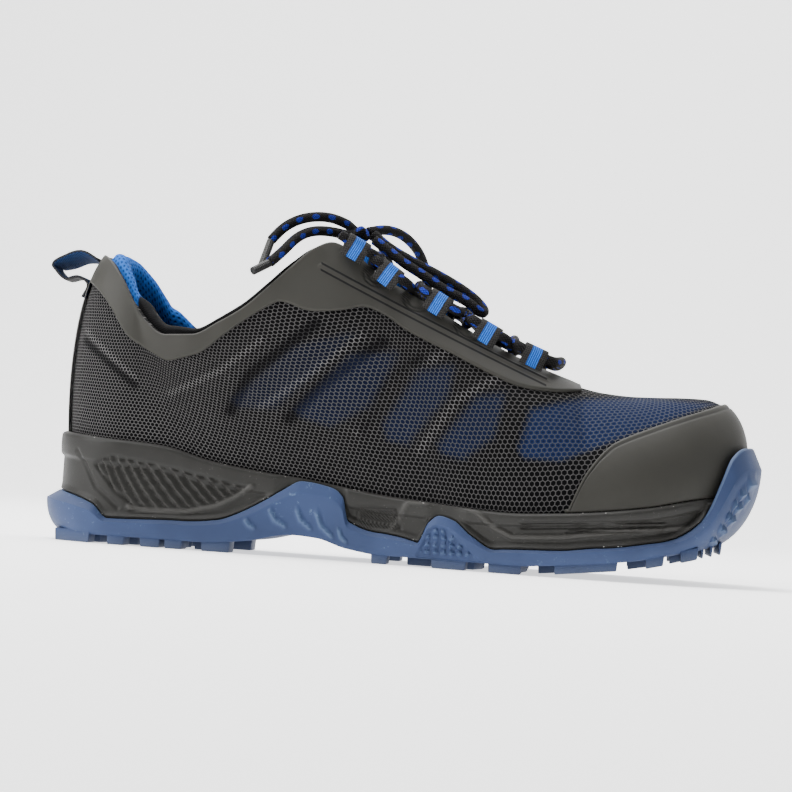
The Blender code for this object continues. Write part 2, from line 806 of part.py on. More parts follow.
def panel_slots():
    meshes = []
    for hand in (-1, 1):
        for k in range(PANEL_SLOTS):
            share = PANEL.start + (PANEL.end - PANEL.start) * k / PANEL_SLOTS
            start, end = around(share), around(share + PANEL_SLANT)
            fall = 1 - abs(2 * k / (PANEL_SLOTS - 1) - 0.8) * 0.45
            middle = (step_height(start) + bite(start)) / 2
            reach = (bite(start) - step_height(start)) * 0.33 * fall
            bottom, top = middle - reach, middle + reach * 0.9
            ends = (end * hand, start * hand)
            meshes.append(side_bar(*ends, bottom, top, SLOT_WIDTH * hand, waist_inset, SLOT_DEPTH))
    return joined("panel_slots", meshes)


def make_outsole(parts, cutters):
    obj = new_object("outsole", slab("outsole", stations(), outsole_profile), parts)
    boolean(obj, new_object("tread_blocks", tread_blocks(), cutters), "UNION")
    boolean(obj, new_object("fin_ribs", fin_ribs(), cutters), "UNION")
    return obj


def make_midsole(parts, cutters):
    obj = new_object("midsole", slab("midsole", stations(), midsole_profile), parts)
    boolean(obj, new_object("panel_slots", panel_slots(), cutters), "DIFFERENCE")
    return obj


def make_insole(parts):
    return new_object("insole", slab("insole", stations(), insole_profile), parts)


def make_upper(parts):
    columns = [[wall(r, up) for up in UPS] for r in both_sides(stations())]
    obj = new_object("upper", sheet("upper", columns, True), parts)
    solidify(obj, UPPER_WALL)
    return obj


def on_facets(r, up, out):
    """A point off the upper's flat facets, which run straight from one row to the next."""
    k = max(k for k in range(len(UPS) - 1) if UPS[k] <= up)
    share = (up - UPS[k]) / (UPS[k + 1] - UPS[k])
    return wall(r, UPS[k], out).lerp(wall(r, UPS[k + 1], out), share)


def up_to(r, height):
    """Share of the way up the wall at a height."""
    low, high = 0.0, 1.0
    for _ in range(20):
        middle = (low + high) / 2
        if bare_wall(r, middle).z < height:
            low = middle
        else:
            high = middle
    return high


def film(name, rounds, low, high, parts):
    """A film over the upper between two shares of the way up, its rows on the upper's own."""
    columns = []
    for r in rounds:
        bottom, top = low(r), high(r)
        columns.append([on_facets(r, min(top, max(bottom, up)), FILM_GAP + FILM_WALL) for up in UPS])
    obj = new_object(name, sheet(name, columns, False), parts)
    solidify(obj, FILM_WALL)


def make_toe_cap(parts):
    first = TOE_CAP[0].around
    later = [first] + [way for way in stations() if way > first + 0.004]
    finer = [a + (b - a) * share for a, b in zip(later, later[1:3]) for share in (0, 0.33, 0.67)]
    ways = finer + later[2:]
    rounds = ways + [-way for way in reversed(ways[:-1])]

    def low(r):
        return up_to(r, bite(r) + 4 * GAP)

    def high(r):
        return max(low(r) + LEAST_BAND, read(TOE_CAP, "up", abs(r)))

    film("toe_cap", rounds, low, high, parts)


def make_collar_film(parts):
    last = FILM[-1].around
    coarse = [way for way in stations() if way < last - 0.004] + [last]
    finer = [a + (b - a) * share for a, b in zip(coarse[-4:], coarse[-3:]) for share in (0, 0.33, 0.67)]
    ways = coarse[:-4] + finer + [last]
    rounds = [-way for way in reversed(ways)] + ways[1:]

    def low(r):
        return read(FILM, "up", abs(r))

    def high(r):
        return 1

    film("collar_film", rounds, low, high, parts)


def make_collar_padding(parts):
    near = -(UPPER_WALL + GAP)
    ways = [way for way in stations() if way < THROAT_TOP - 0.005]
    rounds = [-way for way in reversed(ways)] + ways[1:]
    sections = []
    for r in rounds:
        rise = COLLAR_ROLL / (bare_wall(r, 1) - bare_wall(r, 0.96)).length * 0.04
        thin = 1 - 0.55 * max(0, abs(r) - 0.3) / (THROAT_TOP - 0.3)
        deep = COLLAR_PAD * thin
        sections.append(
            [
                wall(r, 0.62, near),
                wall(r, 0.86, near),
                wall(r, 1, near),
                wall(r, 1 + rise * 0.7, near - deep * 0.05),
                wall(r, 1 + rise, near - deep * 0.4),
                wall(r, 1 + rise * 0.6, near - deep * 0.85),
                wall(r, 0.95, near - deep),
                wall(r, 0.8, near - deep * 0.75),
                wall(r, 0.62, near - deep * 0.25),
            ]
        )
    return new_object("collar_padding", bar("collar_padding", sections), parts)


def tongue_section(way, shift):
    """A cut across the tongue, under both eyestays and over the gap between them."""
    near = -(UPPER_WALL + 2 * GAP)
    centre = (top_edge(-way).y + top_edge(way).y) / 2
    outer, lower = [], []
    for hand in (-1, 1):

        def under_wall(up, out):
            point = wall(hand * way, up, out)
            point.y = centre + hand * max(TONGUE_LEAST, (point.y - centre) * hand)
            return point + shift

        outer.append([under_wall(up, near) for up in TONGUE_UPS])
        lower.append([under_wall(up, near - TONGUE_PAD) for up in TONGUE_UPS])
    crown = TONGUE_CROWN if way < THROAT_FRONT - 0.01 else -GAP
    middle = (outer[0][-1] + outer[1][-1]) / 2 + Vector((0, 0, crown))
    below = (lower[0][-1] + lower[1][-1]) / 2
    return outer[0] + [middle] + outer[1][::-1] + lower[1] + [below] + lower[0][::-1]


def make_tongue(parts):
    top, lower = ((top_edge(-way) + top_edge(way)) / 2 for way in (THROAT_TOP, THROAT_TOP + 0.04))
    rise = (top - lower).normalized() * TONGUE_REACH
    sections = [tongue_section(THROAT_TOP, rise - Vector((0, 0, TONGUE_DROP)))]
    sections.append(tongue_section(THROAT_TOP, rise * 0.6))
    ways = [way for way in stations() if THROAT_TOP <= way <= TONGUE_FRONT]
    sections += [tongue_section(way, Vector()) for way in ways]
    return new_object("tongue", bar("tongue", sections), parts)


def loop_frame(index, hand):
    """Centre of a webbing loop, the way the lace runs through it, and its up direction."""
    r = LOOPS[index] * hand
    base = wall(r, LOOP_UP)
    up = (wall_normal(r, LOOP_UP) + Vector((0, 0, 0.6))).normalized()
    forward = (top_edge(r + 0.012 * hand) - top_edge(r - 0.012 * hand)).normalized()
    up = (up - forward * up.dot(forward)).normalized()
    tall = LACE / 2 + LOOP_CLEARANCE + LOOP_WALL
    return base + up * (FILM_GAP + FILM_WALL + GAP + tall + LOOP_STAND), forward, up


def loop_ring(frame, grow, end):
    """One rim of a webbing loop: an oval round the lace, grown by the wall on the outside."""
    centre, forward, up = frame
    out = forward.cross(up)
    hole = LACE / 2 + LOOP_CLEARANCE
    ring = []
    for k in range(LOOP_SIDES):
        turn = 2 * pi * k / LOOP_SIDES
        wide = out * cos(turn) * (hole * LOOP_OVAL + grow)
        ring.append(centre + forward * end * LOOP_WIDTH / 2 + wide + up * sin(turn) * (hole + grow))
    return ring


def make_loops(parts):
    for hand, where in ((-1, "outer"), (1, "inner")):
        for index in range(len(LOOPS)):
            frame = loop_frame(index, hand)
            rims = ((0, -1), (LOOP_WALL, -1), (LOOP_WALL, 1), (0, 1))
            points = [point for rim_of in rims for point in loop_ring(frame, *rim_of)]
            mesh = mesh_of("loop", points, ring_faces(len(rims), LOOP_SIDES, True))
            new_object(f"lace_loop_{where}_{index + 1}", mesh, parts)


def smooth_route(points, spacing):
    """Points about a spacing apart on a smooth curve through the route's own points."""
    ends = [points[0] * 2 - points[1]] + list(points) + [points[-1] * 2 - points[-2]]
    route = []
    for i in range(1, len(ends) - 2):
        before, a, b, after = ends[i - 1 : i + 3]
        count = max(1, round((b - a).length / spacing))
        for k in range(count):
            t = k / count
            route.append(
                0.5
                * (
                    2 * a
                    + (b - before) * t
                    + (2 * before - 5 * a + 4 * b - after) * t * t
                    + (3 * a - before - 3 * b + after) * t**3
                )
            )
    return route + [points[-1]]


def cord(name, route, width, parts):
    """A round cord along a route, with closed ends, as a mesh."""
    curve = bpy.data.curves.new(name, "CURVE")
    curve.dimensions = "3D"
    curve.bevel_depth = width / 2
    curve.bevel_resolution = 2
    curve.use_fill_caps = True
    spline = curve.splines.new("POLY")
    spline.points.add(len(route) - 1)
    for place, point in zip(spline.points, route):
        place.co = (*point, 1)
    obj = bpy.data.objects.new(name, curve)
    parts.objects.link(obj)
    return obj


def through_loop(index, hand, sense):
    """The lace's way through a webbing loop, lifted a little off the film at both ends."""
    centre, forward, up = loop_frame(index, hand)
    half = forward * (LOOP_WIDTH / 2 + LACE_STRAIGHT) * sense
    return [centre - half + up * LACE_LIFT, centre, centre + half + up * LACE_LIFT]


def lace_route():
    """The lace from the top outer loop by the crossings to the front bar and back up."""
    count = len(LOOPS)
    down = [(index, -1 if index % 2 == 0 else 1, 1) for index in range(count)]
    back = [(index, -hand, -1) for index, hand, _ in reversed(down)]
    route = []
    for index, hand, sense in down + back:
        leg = through_loop(index, hand, sense)
        if route:
            turning = index == count - 1 and sense < 0
            shift = (FRONT_BAR, 0, FRONT_BAR / 3) if turning else (0, 0, CROSSING_RISE * sense)
            route.append((route[-1] + leg[0]) / 2 + Vector(shift))
        route += leg
    return route


def metres(points):
    return [Vector(point) * MM for point in points]


def make_lacing(parts):
    cord("lace_crossings", smooth_route(lace_route(), LACE_STEP), LACE, parts)
    bow = {
        "lace_bow_front": (BOW_FRONT, LACE),
        "lace_bow_inner": (BOW_INNER, LACE),
        "lace_end_high": (END_HIGH, LACE),
        "lace_end_low": (END_LOW, LACE),
        "aglet_high": (AGLET_HIGH, AGLET),
        "aglet_low": (AGLET_LOW, AGLET),
    }
    for name, (points, width) in bow.items():
        cord(name, smooth_route(metres(points), LACE_STEP), width, parts)
    ball = bmesh.new()
    bmesh.ops.create_uvsphere(ball, u_segments=12, v_segments=8, radius=0.5)
    for vert in ball.verts:
        vert.co = Vector(c * size for c, size in zip(vert.co, KNOT_SIZE))
    mesh = bpy.data.meshes.new("lace_knot")
    ball.to_mesh(mesh)
    ball.free()
    new_object("lace_knot", mesh, parts).location = KNOT


def make_pull_tab(parts):
    """A webbing loop standing out behind the heel, its two ends on the back of the collar."""
    off = FILM_GAP + FILM_WALL + 2 * GAP
    top, low, end = (wall(0, up, off) for up in TAB_UPS)
    back = x_at(0) - TAB_REACH
    middle = (top.z + low.z) / 2
    route = [top]
    for x, z in (
        (top.x - 7 * MM, top.z + 1.2 * MM),
        (back + 6 * MM, top.z - 1 * MM),
        (back, middle + 0.5 * MM),
        (back + 5 * MM, low.z - 0.5 * MM),
        (low.x - 4 * MM, low.z + 0.5 * MM),
        (low.x, low.z - 2 * MM),
        (end.x, end.z),
    ):
        route.append(Vector((x, 0, z)))
    path = smooth_route(route, 4 * MM)
    half = Vector((0, TAB_WIDTH / 2, 0))
    sections = []
    for i, point in enumerate(path):
        way = (path[min(i + 1, len(path) - 1)] - path[max(i - 1, 0)]).normalized()
        out = Vector((-way.z, 0, way.x)) * TAB_WALL
        sections.append([point - half, point + half, point + half + out, point - half + out])
    return new_object("pull_tab", bar("pull_tab", sections), parts)


MATERIALS = {
    "blue_rubber": ((0.035, 0.115, 0.30), 0.55),
    "black_foam": ((0.022, 0.022, 0.024), 0.5),
    "black_mesh": ((0.030, 0.030, 0.033), 0.8),
    "grey_film": ((0.045, 0.045, 0.047), 0.55),
    "blue_lining": ((0.02, 0.20, 0.75), 0.9),
    "black_padding": ((0.028, 0.028, 0.030), 0.9),
    "blue_webbing": ((0.02, 0.22, 0.80), 0.8),
    "lace_black": ((0.018, 0.018, 0.022), 0.8),
}
FINISHES = {
    "outsole": "blue_rubber",
    "midsole": "black_foam",
    "insole": "black_padding",
    "upper": "black_mesh",
    "toe_cap": "grey_film",
    "collar_film": "grey_film",
    "collar_padding": "blue_lining",
    "tongue": "black_padding",
    "pull_tab": "lace_black",
}


def paint(parts):
    for name, (colour, roughness) in MATERIALS.items():
        material = bpy.data.materials.new(name)
        material.use_nodes = True
        shader = material.node_tree.nodes["Principled BSDF"]
        shader.inputs["Base Color"].default_value = (*colour, 1)
        shader.inputs["Roughness"].default_value = roughness
        shader.inputs["Metallic"].default_value = 0
    for obj in parts.objects:
        usual = "blue_webbing" if obj.name.startswith("lace_loop") else "lace_black"
        obj.data.materials.append(bpy.data.materials[FINISHES.get(obj.name, usual)])


def main():
    for obj in list(bpy.data.objects):
        bpy.data.objects.remove(obj)
    parts = bpy.data.collections.new("safety_sneaker")
    cutters = bpy.data.collections.new("cutters")
    for collection in (parts, cutters):
        bpy.context.scene.collection.children.link(collection)
    make_outsole(parts, cutters)
    make_midsole(parts, cutters)
    make_insole(parts)
    make_upper(parts)
    make_toe_cap(parts)
    make_collar_film(parts)
    make_collar_padding(parts)
    make_tongue(parts)
    make_loops(parts)
    make_lacing(parts)
    make_pull_tab(parts)
    paint(parts)


if __name__ == "__main__":
    main()
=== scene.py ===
"""Finish of a low safety sneaker for the right foot, as a Blender add-on that is run as a script.

Every piece is laid on the same walk round the shoe as its solids: a station r
runs from -1 at the toe along the outer side to 0 at the heel and along the
inner side to 1 at the toe again, and up runs from a wall's foot to its top.
"""

from collections import namedtuple
from functools import lru_cache
from math import cos, pi, radians, sin

import bpy
import numpy as np
from mathutils import Matrix, Vector


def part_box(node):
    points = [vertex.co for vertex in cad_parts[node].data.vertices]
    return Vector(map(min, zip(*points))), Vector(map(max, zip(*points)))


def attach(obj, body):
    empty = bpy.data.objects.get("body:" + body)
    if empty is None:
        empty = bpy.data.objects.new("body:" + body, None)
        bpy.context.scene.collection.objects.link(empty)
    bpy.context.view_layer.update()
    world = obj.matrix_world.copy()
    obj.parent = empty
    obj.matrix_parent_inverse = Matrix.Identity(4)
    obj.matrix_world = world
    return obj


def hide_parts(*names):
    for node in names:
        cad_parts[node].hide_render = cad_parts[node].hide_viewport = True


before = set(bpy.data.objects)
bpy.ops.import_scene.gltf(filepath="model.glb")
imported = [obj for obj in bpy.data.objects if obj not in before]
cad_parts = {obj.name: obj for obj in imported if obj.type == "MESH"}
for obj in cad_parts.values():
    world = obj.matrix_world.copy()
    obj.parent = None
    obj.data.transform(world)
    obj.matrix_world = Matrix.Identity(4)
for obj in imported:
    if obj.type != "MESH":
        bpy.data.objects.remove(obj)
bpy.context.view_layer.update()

bl_info = {
    "name": "Safety sneaker",
    "version": (1, 0, 0),
    "blender": (4, 5, 0),
    "location": "View3D > Sidebar > Sneaker",
    "description": "Builds and finishes a low safety sneaker piece by piece",
    "category": "Object",
}

MM = 0.001


def table(fields, *rows):
    """Rows of a table, each with its columns named."""
    row = namedtuple("Row", fields)
    return tuple(row(*values) for values in rows)


# Main sizes, read from the frame where a solid's box gives them
SOLE_LOW, SOLE_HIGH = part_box("outsole")
LENGTH = SOLE_HIGH.x - SOLE_LOW.x
ORIGIN_X = -SOLE_LOW.x
BUMPER_HEIGHT = SOLE_HIGH.z
HEEL_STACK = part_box("midsole")[1].z
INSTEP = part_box("upper")[1].z
BALL_WIDTH = 108 * MM
HEEL_HEIGHT = 120.2 * MM
BALL_STACK = 24.2 * MM
TOE_STACK = 37 * MM
TAB_REACH = 5 * MM

# Walls and steps of the sole and upper
GAP = 0.3 * MM
UPPER_WALL = 2 * MM
FILM_WALL = 1 * MM
FILM_GAP = 0.4 * MM
LUG_DEPTH = 3.5 * MM
ARCH_LIFT = 5.5 * MM
FLOOR_WALL = 3 * MM
CUP_WALL = 3 * MM
CUP_LIP = 1.4 * MM
ARCH_FIN = 31 * MM
BALL_FIN = 21 * MM
CUP_HEIGHT = 10 * MM
WAIST = 1.3 * MM
SOCK_DEPTH = 4 * MM
INSOLE_WALL = 4 * MM
COLLAR_ROLL = 5 * MM
COLLAR_PAD = 9 * MM
INNER_COLLAR_FORWARD = 4 * MM
INNER_COLLAR_UP = 2 * MM
TONGUE_PAD = 6 * MM
TONGUE_REACH = 9 * MM
LACE = 4.2 * MM
LOOP_WIDTH = 12 * MM
LOOP_WALL = 1 * MM
LOOP_CLEARANCE = 0.55 * MM
LOOP_STAND = 1 * MM
LACE_STRAIGHT = 2.2 * MM
LACE_LIFT = 0.3 * MM
CROSSING_RISE = 2.25 * MM
FRONT_BAR = 3 * MM
TAB_WIDTH = 13 * MM
TAB_WALL = 1.3 * MM
TAB_UPS = (0.955, 0.80, 0.70)
TAB_TILT = 0.4

# Where the round ends begin, as shares of the length and of the way round
HEEL_END, TOE_END = 0.125, 0.80
HEEL_TURN, TOE_TURN = 0.2, 0.8
HEEL_SQUARE, TOE_SQUARE = 2.2, 2.3
THROAT_TOP, THROAT_FRONT = 0.56, 0.765
LOOP_UP = 0.95

# The photograph's camera: place, aim, roll in degrees, and lens on a 36 mm sensor
CAMERA = (0.09166, -0.99556, 0.0275)
AIM = (-0.00245, 0, 0.0695)
ROLL, LENS = 4.0, 108.45

# Sole outline: centre line and half width as shares of the ball width
OUTLINE = table(
    "along centre half",
    (0.00, 0.000, 0.360), (0.12, -0.005, 0.365), (0.25, -0.015, 0.357), (0.38, -0.030, 0.337),
    (0.50, -0.038, 0.368), (0.60, -0.030, 0.435), (0.69, -0.012, 0.488), (0.76, 0.002, 0.498),
    (0.86, 0.016, 0.480), (1.00, 0.040, 0.430),
)

# Height of the line where upper and sole meet, each share of its own stack
BITE = table(
    "along heel ball toe",
    (0.00, 1.00, 0.00, 0.00), (0.08, 0.955, 0.00, 0.00), (0.18, 0.915, 0.00, 0.00),
    (0.25, 0.54, 0.50, 0.00), (0.31, 0.34, 0.77, 0.00), (0.40, 0.17, 0.97, 0.00), (0.51, 0.05, 1.02, 0.00),
    (0.65, 0.00, 1.00, 0.00), (0.73, 0.00, 0.82, 0.15), (0.85, 0.00, 0.35, 0.58), (0.93, 0.00, 0.05, 0.91),
    (1.00, 0.00, 0.00, 1.00),
)

# Rise of the tread off the floor at the toe, as shares of the toe stack, and
# the lift of the arch as shares of its own size
TREAD = table(
    "along spring arch",
    (0.00, 0.000, 0.00), (0.24, 0.000, 0.00), (0.30, 0.000, 0.30), (0.365, 0.000, 1.00),
    (0.40, 0.000, 0.90), (0.442, 0.000, 0.30), (0.49, 0.000, 0.00), (0.68, 0.000, 0.00),
    (0.714, 0.022, 0.00), (0.767, 0.068, 0.00), (0.822, 0.124, 0.00), (0.852, 0.168, 0.00),
    (0.901, 0.262, 0.00), (0.940, 0.340, 0.00), (1.000, 0.500, 0.00),
)

# Top edge of the blue cup: shares of cup height, arch fin, ball fin, bumper
CUP = table(
    "along cup arch ball bumper",
    (0.000, 2.10, 0.00, 0.00, 0.00), (0.050, 1.85, 0.00, 0.00, 0.00), (0.083, 1.57, 0.00, 0.00, 0.00),
    (0.109, 1.05, 0.00, 0.00, 0.00), (0.214, 1.15, 0.00, 0.00, 0.00), (0.262, 1.10, 0.06, 0.00, 0.00),
    (0.296, 0.60, 0.35, 0.00, 0.00), (0.336, 0.20, 0.71, 0.00, 0.00), (0.349, 0.12, 0.82, 0.00, 0.00),
    (0.376, 0.00, 1.00, 0.00, 0.00), (0.417, 0.00, 0.94, 0.00, 0.00), (0.432, 0.10, 0.80, 0.00, 0.00),
    (0.442, 1.30, 0.10, 0.00, 0.00), (0.480, 1.25, 0.00, 0.00, 0.00), (0.538, 0.96, 0.00, 0.00, 0.00),
    (0.553, 0.20, 0.00, 0.78, 0.00), (0.566, 0.00, 0.00, 1.00, 0.00), (0.585, 0.05, 0.00, 0.91, 0.00),
    (0.612, 0.45, 0.00, 0.44, 0.00), (0.645, 0.92, 0.00, 0.00, 0.00), (0.732, 1.06, 0.00, 0.00, 0.00),
    (0.784, 1.20, 0.00, 0.00, 0.01), (0.844, 0.90, 0.00, 0.00, 0.11), (0.885, 0.50, 0.00, 0.00, 0.23),
    (0.912, 0.30, 0.00, 0.00, 0.35), (0.932, 0.10, 0.00, 0.00, 0.50), (0.950, 0.00, 0.00, 0.00, 0.73),
    (0.965, 0.00, 0.00, 0.00, 0.91), (0.983, 0.00, 0.00, 0.00, 0.985), (1.000, 0.00, 0.00, 0.00, 1.00),
)

# Side of the sole in shares of the ball width, measured in from the outline:
# the lower edge, the cup's top edge, the midsole's edge and the upper's foot
SIDE = table(
    "along under lip edge foot",
    (0.00, 0.085, 0.050, 0.043, 0.079), (0.05, 0.045, 0.040, 0.036, 0.070),
    (0.12, 0.020, 0.020, 0.026, 0.058), (0.30, 0.015, 0.012, 0.020, 0.052),
    (0.80, 0.018, 0.012, 0.020, 0.052), (0.88, 0.045, 0.016, 0.030, 0.064),
    (0.95, 0.120, 0.026, 0.056, 0.086), (1.00, 0.230, 0.037, 0.066, 0.101),
)

# The upper's wall at each share of the way round. Its top edge is the collar,
# then the throat, then the ridge over the toes: place along the length, half
# width as a share of the ball width, and height as a share of the instep or,
# towards the heel, of the heel height. Lean, rise and shoulder shape the wall
# between foot and top edge, as shares of the instep, and pitch is the slope
# in degrees at which it reaches the top edge.
WALL = table(
    "around along half height lean rise shoulder pitch",
    (0.000, 0.058, 0.000, 1.000, 0.020, 0.21, 0.14, 52),
    (0.050, 0.063, 0.080, 0.990, 0.020, 0.21, 0.14, 55),
    (0.100, 0.078, 0.160, 0.958, 0.020, 0.20, 0.14, 60),
    (0.150, 0.100, 0.222, 0.886, 0.022, 0.19, 0.14, 68),
    (0.200, 0.120, 0.262, 0.805, 0.024, 0.18, 0.13, 74),
    (0.250, 0.141, 0.290, 0.738, 0.024, 0.16, 0.12, 78),
    (0.300, 0.171, 0.310, 0.692, 0.024, 0.15, 0.12, 80),
    (0.350, 0.208, 0.322, 0.692, 0.022, 0.15, 0.12, 80),
    (0.400, 0.243, 0.320, 0.731, 0.020, 0.16, 0.13, 76),
    (0.440, 0.275, 0.306, 0.778, 0.020, 0.18, 0.15, 72),
    (0.480, 0.309, 0.286, 0.850, 0.020, 0.20, 0.18, 66),
    (0.510, 0.336, 0.262, 0.913, 0.020, 0.22, 0.20, 62),
    (0.540, 0.363, 0.226, 0.975, 0.020, 0.23, 0.22, 57),
    (0.560, 0.386, 0.186, 1.000, 0.020, 0.24, 0.23, 52),
    (0.580, 0.411, 0.158, 0.977, 0.020, 0.24, 0.23, 48),
    (0.600, 0.448, 0.148, 0.913, 0.020, 0.24, 0.22, 45),
    (0.640, 0.521, 0.139, 0.824, 0.020, 0.22, 0.20, 40),
    (0.680, 0.599, 0.130, 0.727, 0.020, 0.20, 0.18, 32),
    (0.710, 0.656, 0.116, 0.668, 0.020, 0.19, 0.17, 26),
    (0.735, 0.699, 0.088, 0.632, 0.020, 0.19, 0.17, 20),
    (0.755, 0.728, 0.040, 0.611, 0.020, 0.19, 0.18, 14),
    (0.765, 0.739, 0.000, 0.603, 0.020, 0.19, 0.19, 10),
    (0.800, 0.775, 0.000, 0.588, 0.022, 0.19, 0.20, 6),
    (0.840, 0.813, 0.000, 0.583, 0.026, 0.19, 0.20, 3),
    (0.880, 0.847, 0.000, 0.585, 0.034, 0.19, 0.20, 0),
    (0.920, 0.875, 0.000, 0.588, 0.046, 0.18, 0.19, -2),
    (0.960, 0.895, 0.000, 0.589, 0.058, 0.16, 0.17, -3),
    (1.000, 0.907, 0.000, 0.589, 0.064, 0.15, 0.15, -4),
)

# Upper edge of the toe cap, as a share of the way up the wall
TOE_CAP = table(
    "around up",
    (0.742, 0.03), (0.765, 0.25), (0.800, 0.43), (0.840, 0.53), (0.880, 0.60), (0.920, 0.68), (0.960, 0.76),
    (1.000, 0.80),
)

# Lower edge of the film round the collar and down the eyestay
FILM = table(
    "around up",
    (0.000, 0.79), (0.080, 0.78), (0.143, 0.765), (0.199, 0.70), (0.260, 0.74), (0.327, 0.81),
    (0.375, 0.865), (0.445, 0.92), (0.480, 0.90), (0.508, 0.78), (0.545, 0.72), (0.600, 0.708),
    (0.690, 0.71), (0.733, 0.775), (0.765, 0.88),
)

# Tread blocks of the sole's edge: where each starts and ends along the length
EDGE_BLOCKS = table(
    "start end",
    (0.030, 0.087), (0.112, 0.137), (0.158, 0.186), (0.192, 0.217), (0.243, 0.283), (0.477, 0.500),
    (0.560, 0.608), (0.637, 0.682), (0.725, 0.809), (0.845, 0.870), (0.891, 0.915),
)
MIDDLE_BLOCKS = table(
    "start end",
    (0.045, 0.080), (0.104, 0.134), (0.158, 0.188), (0.212, 0.242), (0.510, 0.545), (0.570, 0.605),
    (0.630, 0.665), (0.690, 0.725), (0.750, 0.785), (0.810, 0.840), (0.866, 0.890),
)
EDGE_BAND = (0.62, 0.955)
MIDDLE_BAND = (0.08, 0.50)
CHEVRON = 0.022

# Webbing loops of the lacing, from the ankle to the toe, round the way
LOOPS = (0.574, 0.602, 0.642, 0.679, 0.715)

# Lace ends and bow, in millimetres from the origin: they follow no other size
KNOT = Vector((-23, -2, 136.4)) * MM
BOW_FRONT = (
    (-16.3, -2, 136.6), (-9.5, -2.8, 131.4), (1, -3.3, 126), (15, -4, 119.6), (25.5, -4.5, 113.8),
    (31, -5.2, 109.3), (33.5, -7.5, 105.8), (31, -10.3, 105.4), (26.5, -11.2, 109.6), (17.5, -11.2, 113.4),
    (9, -10.5, 118.3), (4.5, -9.8, 121), (-2, -9, 124.5), (-8, -8, 128.8), (-15.2, -7, 133.6),
)
BOW_INNER = (
    (-19, 1.1, 137.9), (-12, 8, 140), (-5, 17, 138.5), (1, 27, 132.5), (4, 35, 123), (4.5, 39.5, 112),
    (1, 41, 105.5), (-4.5, 40, 107), (-8.5, 37, 115), (-11.5, 31, 124.5), (-14.5, 23, 133.5),
    (-18, 13, 137.5), (-20.5, 6.5, 137.5),
)
END_HIGH = (
    (-27.5, -2.5, 140), (-33, -5, 142), (-40, -8.5, 142), (-47, -11.5, 140), (-53, -14.5, 135.8),
    (-57.2, -17, 130.2),
)
END_LOW = (
    (-28.5, -5.5, 135.5), (-35, -10, 136), (-41.5, -15.5, 134.8), (-46.5, -21, 131), (-50.5, -26.5, 125),
    (-55, -31, 119.5),
)
AGLET_HIGH = ((-57.4, -17.3, 129.7), (-60, -22, 118))
AGLET_LOW = ((-55.4, -31.4, 119.1), (-61, -36.5, 115))
AGLET = 3.4 * MM

# Moulded lines on the sole's side, in millimetres along and up
LEAF = (
    (-124, 32), (-119, 35.5), (-113.4, 36.9), (-95, 34.6), (-76.9, 31.6), (-55, 27.6), (-62, 22.4),
    (-68.8, 18.7), (-80.6, 15.7), (-92, 14.9), (-103, 15.1), (-112, 21),
)
LEAF_LIP = ((-105, 15.6), (-98, 14.9), (-80.6, 15.7), (-68.8, 18.7), (-62, 22.4), (-55, 27.4))
HEEL_CREASE = ((-131.7, 37.1), (-121.2, 23), (-109.9, 15.5))
BADGE = ((-12.8, 14.6), (-11.2, 22.4), (4.4, 23), (6.2, 13.4), (-8, 12.8))
BADGE_BAR = ((2.2, 13), (9.3, 25.6), (16.9, 26))
RAIL = ((33, 25), (37.1, 23.6), (44, 18), (52, 14.6), (72, 16), (93.9, 19.6), (122.7, 23.1))
SIDE_LINES = (((55.6, 20.6), (113.3, 24.8)), ((55.6, 18.6), (113.3, 22.8)), ((74, 18.2), (113.3, 21.2)))
BALL_PATCH = ((13.5, 3.6), (18.6, 15.5), (22.5, 17.6), (26.5, 16.2), (37, 7.2), (43, 3.4))
ARCH_RIBS = (
    ((-46.3, 17.9), (-44.5, 14.6), (-40.4, 12.5)),
    ((-35.6, 19.1), (-34, 15.3), (-30.2, 12.4)),
    ((-27.6, 18.6), (-25.6, 13.6), (-21, 9.6)),
    ((-17.9, 12.2), (-17, 9.6), (-15.2, 8.1)),
    ((-56, 13.4), (-54.6, 11.6), (-53, 11)),
)
BUMPER_RIBS = (
    ((134.0, 18.6), (137.2, 17.4)), ((136.2, 23.4), (139.6, 22)), ((138.6, 28.2), (142, 26.8)),
    ((140.8, 33), (144, 31.8)), ((142.8, 38), (145.8, 36.8)), ((144.6, 43), (147.2, 42)),
)
TOE_BARS = (0.895, 0.907, 0.919, 0.931, 0.943)

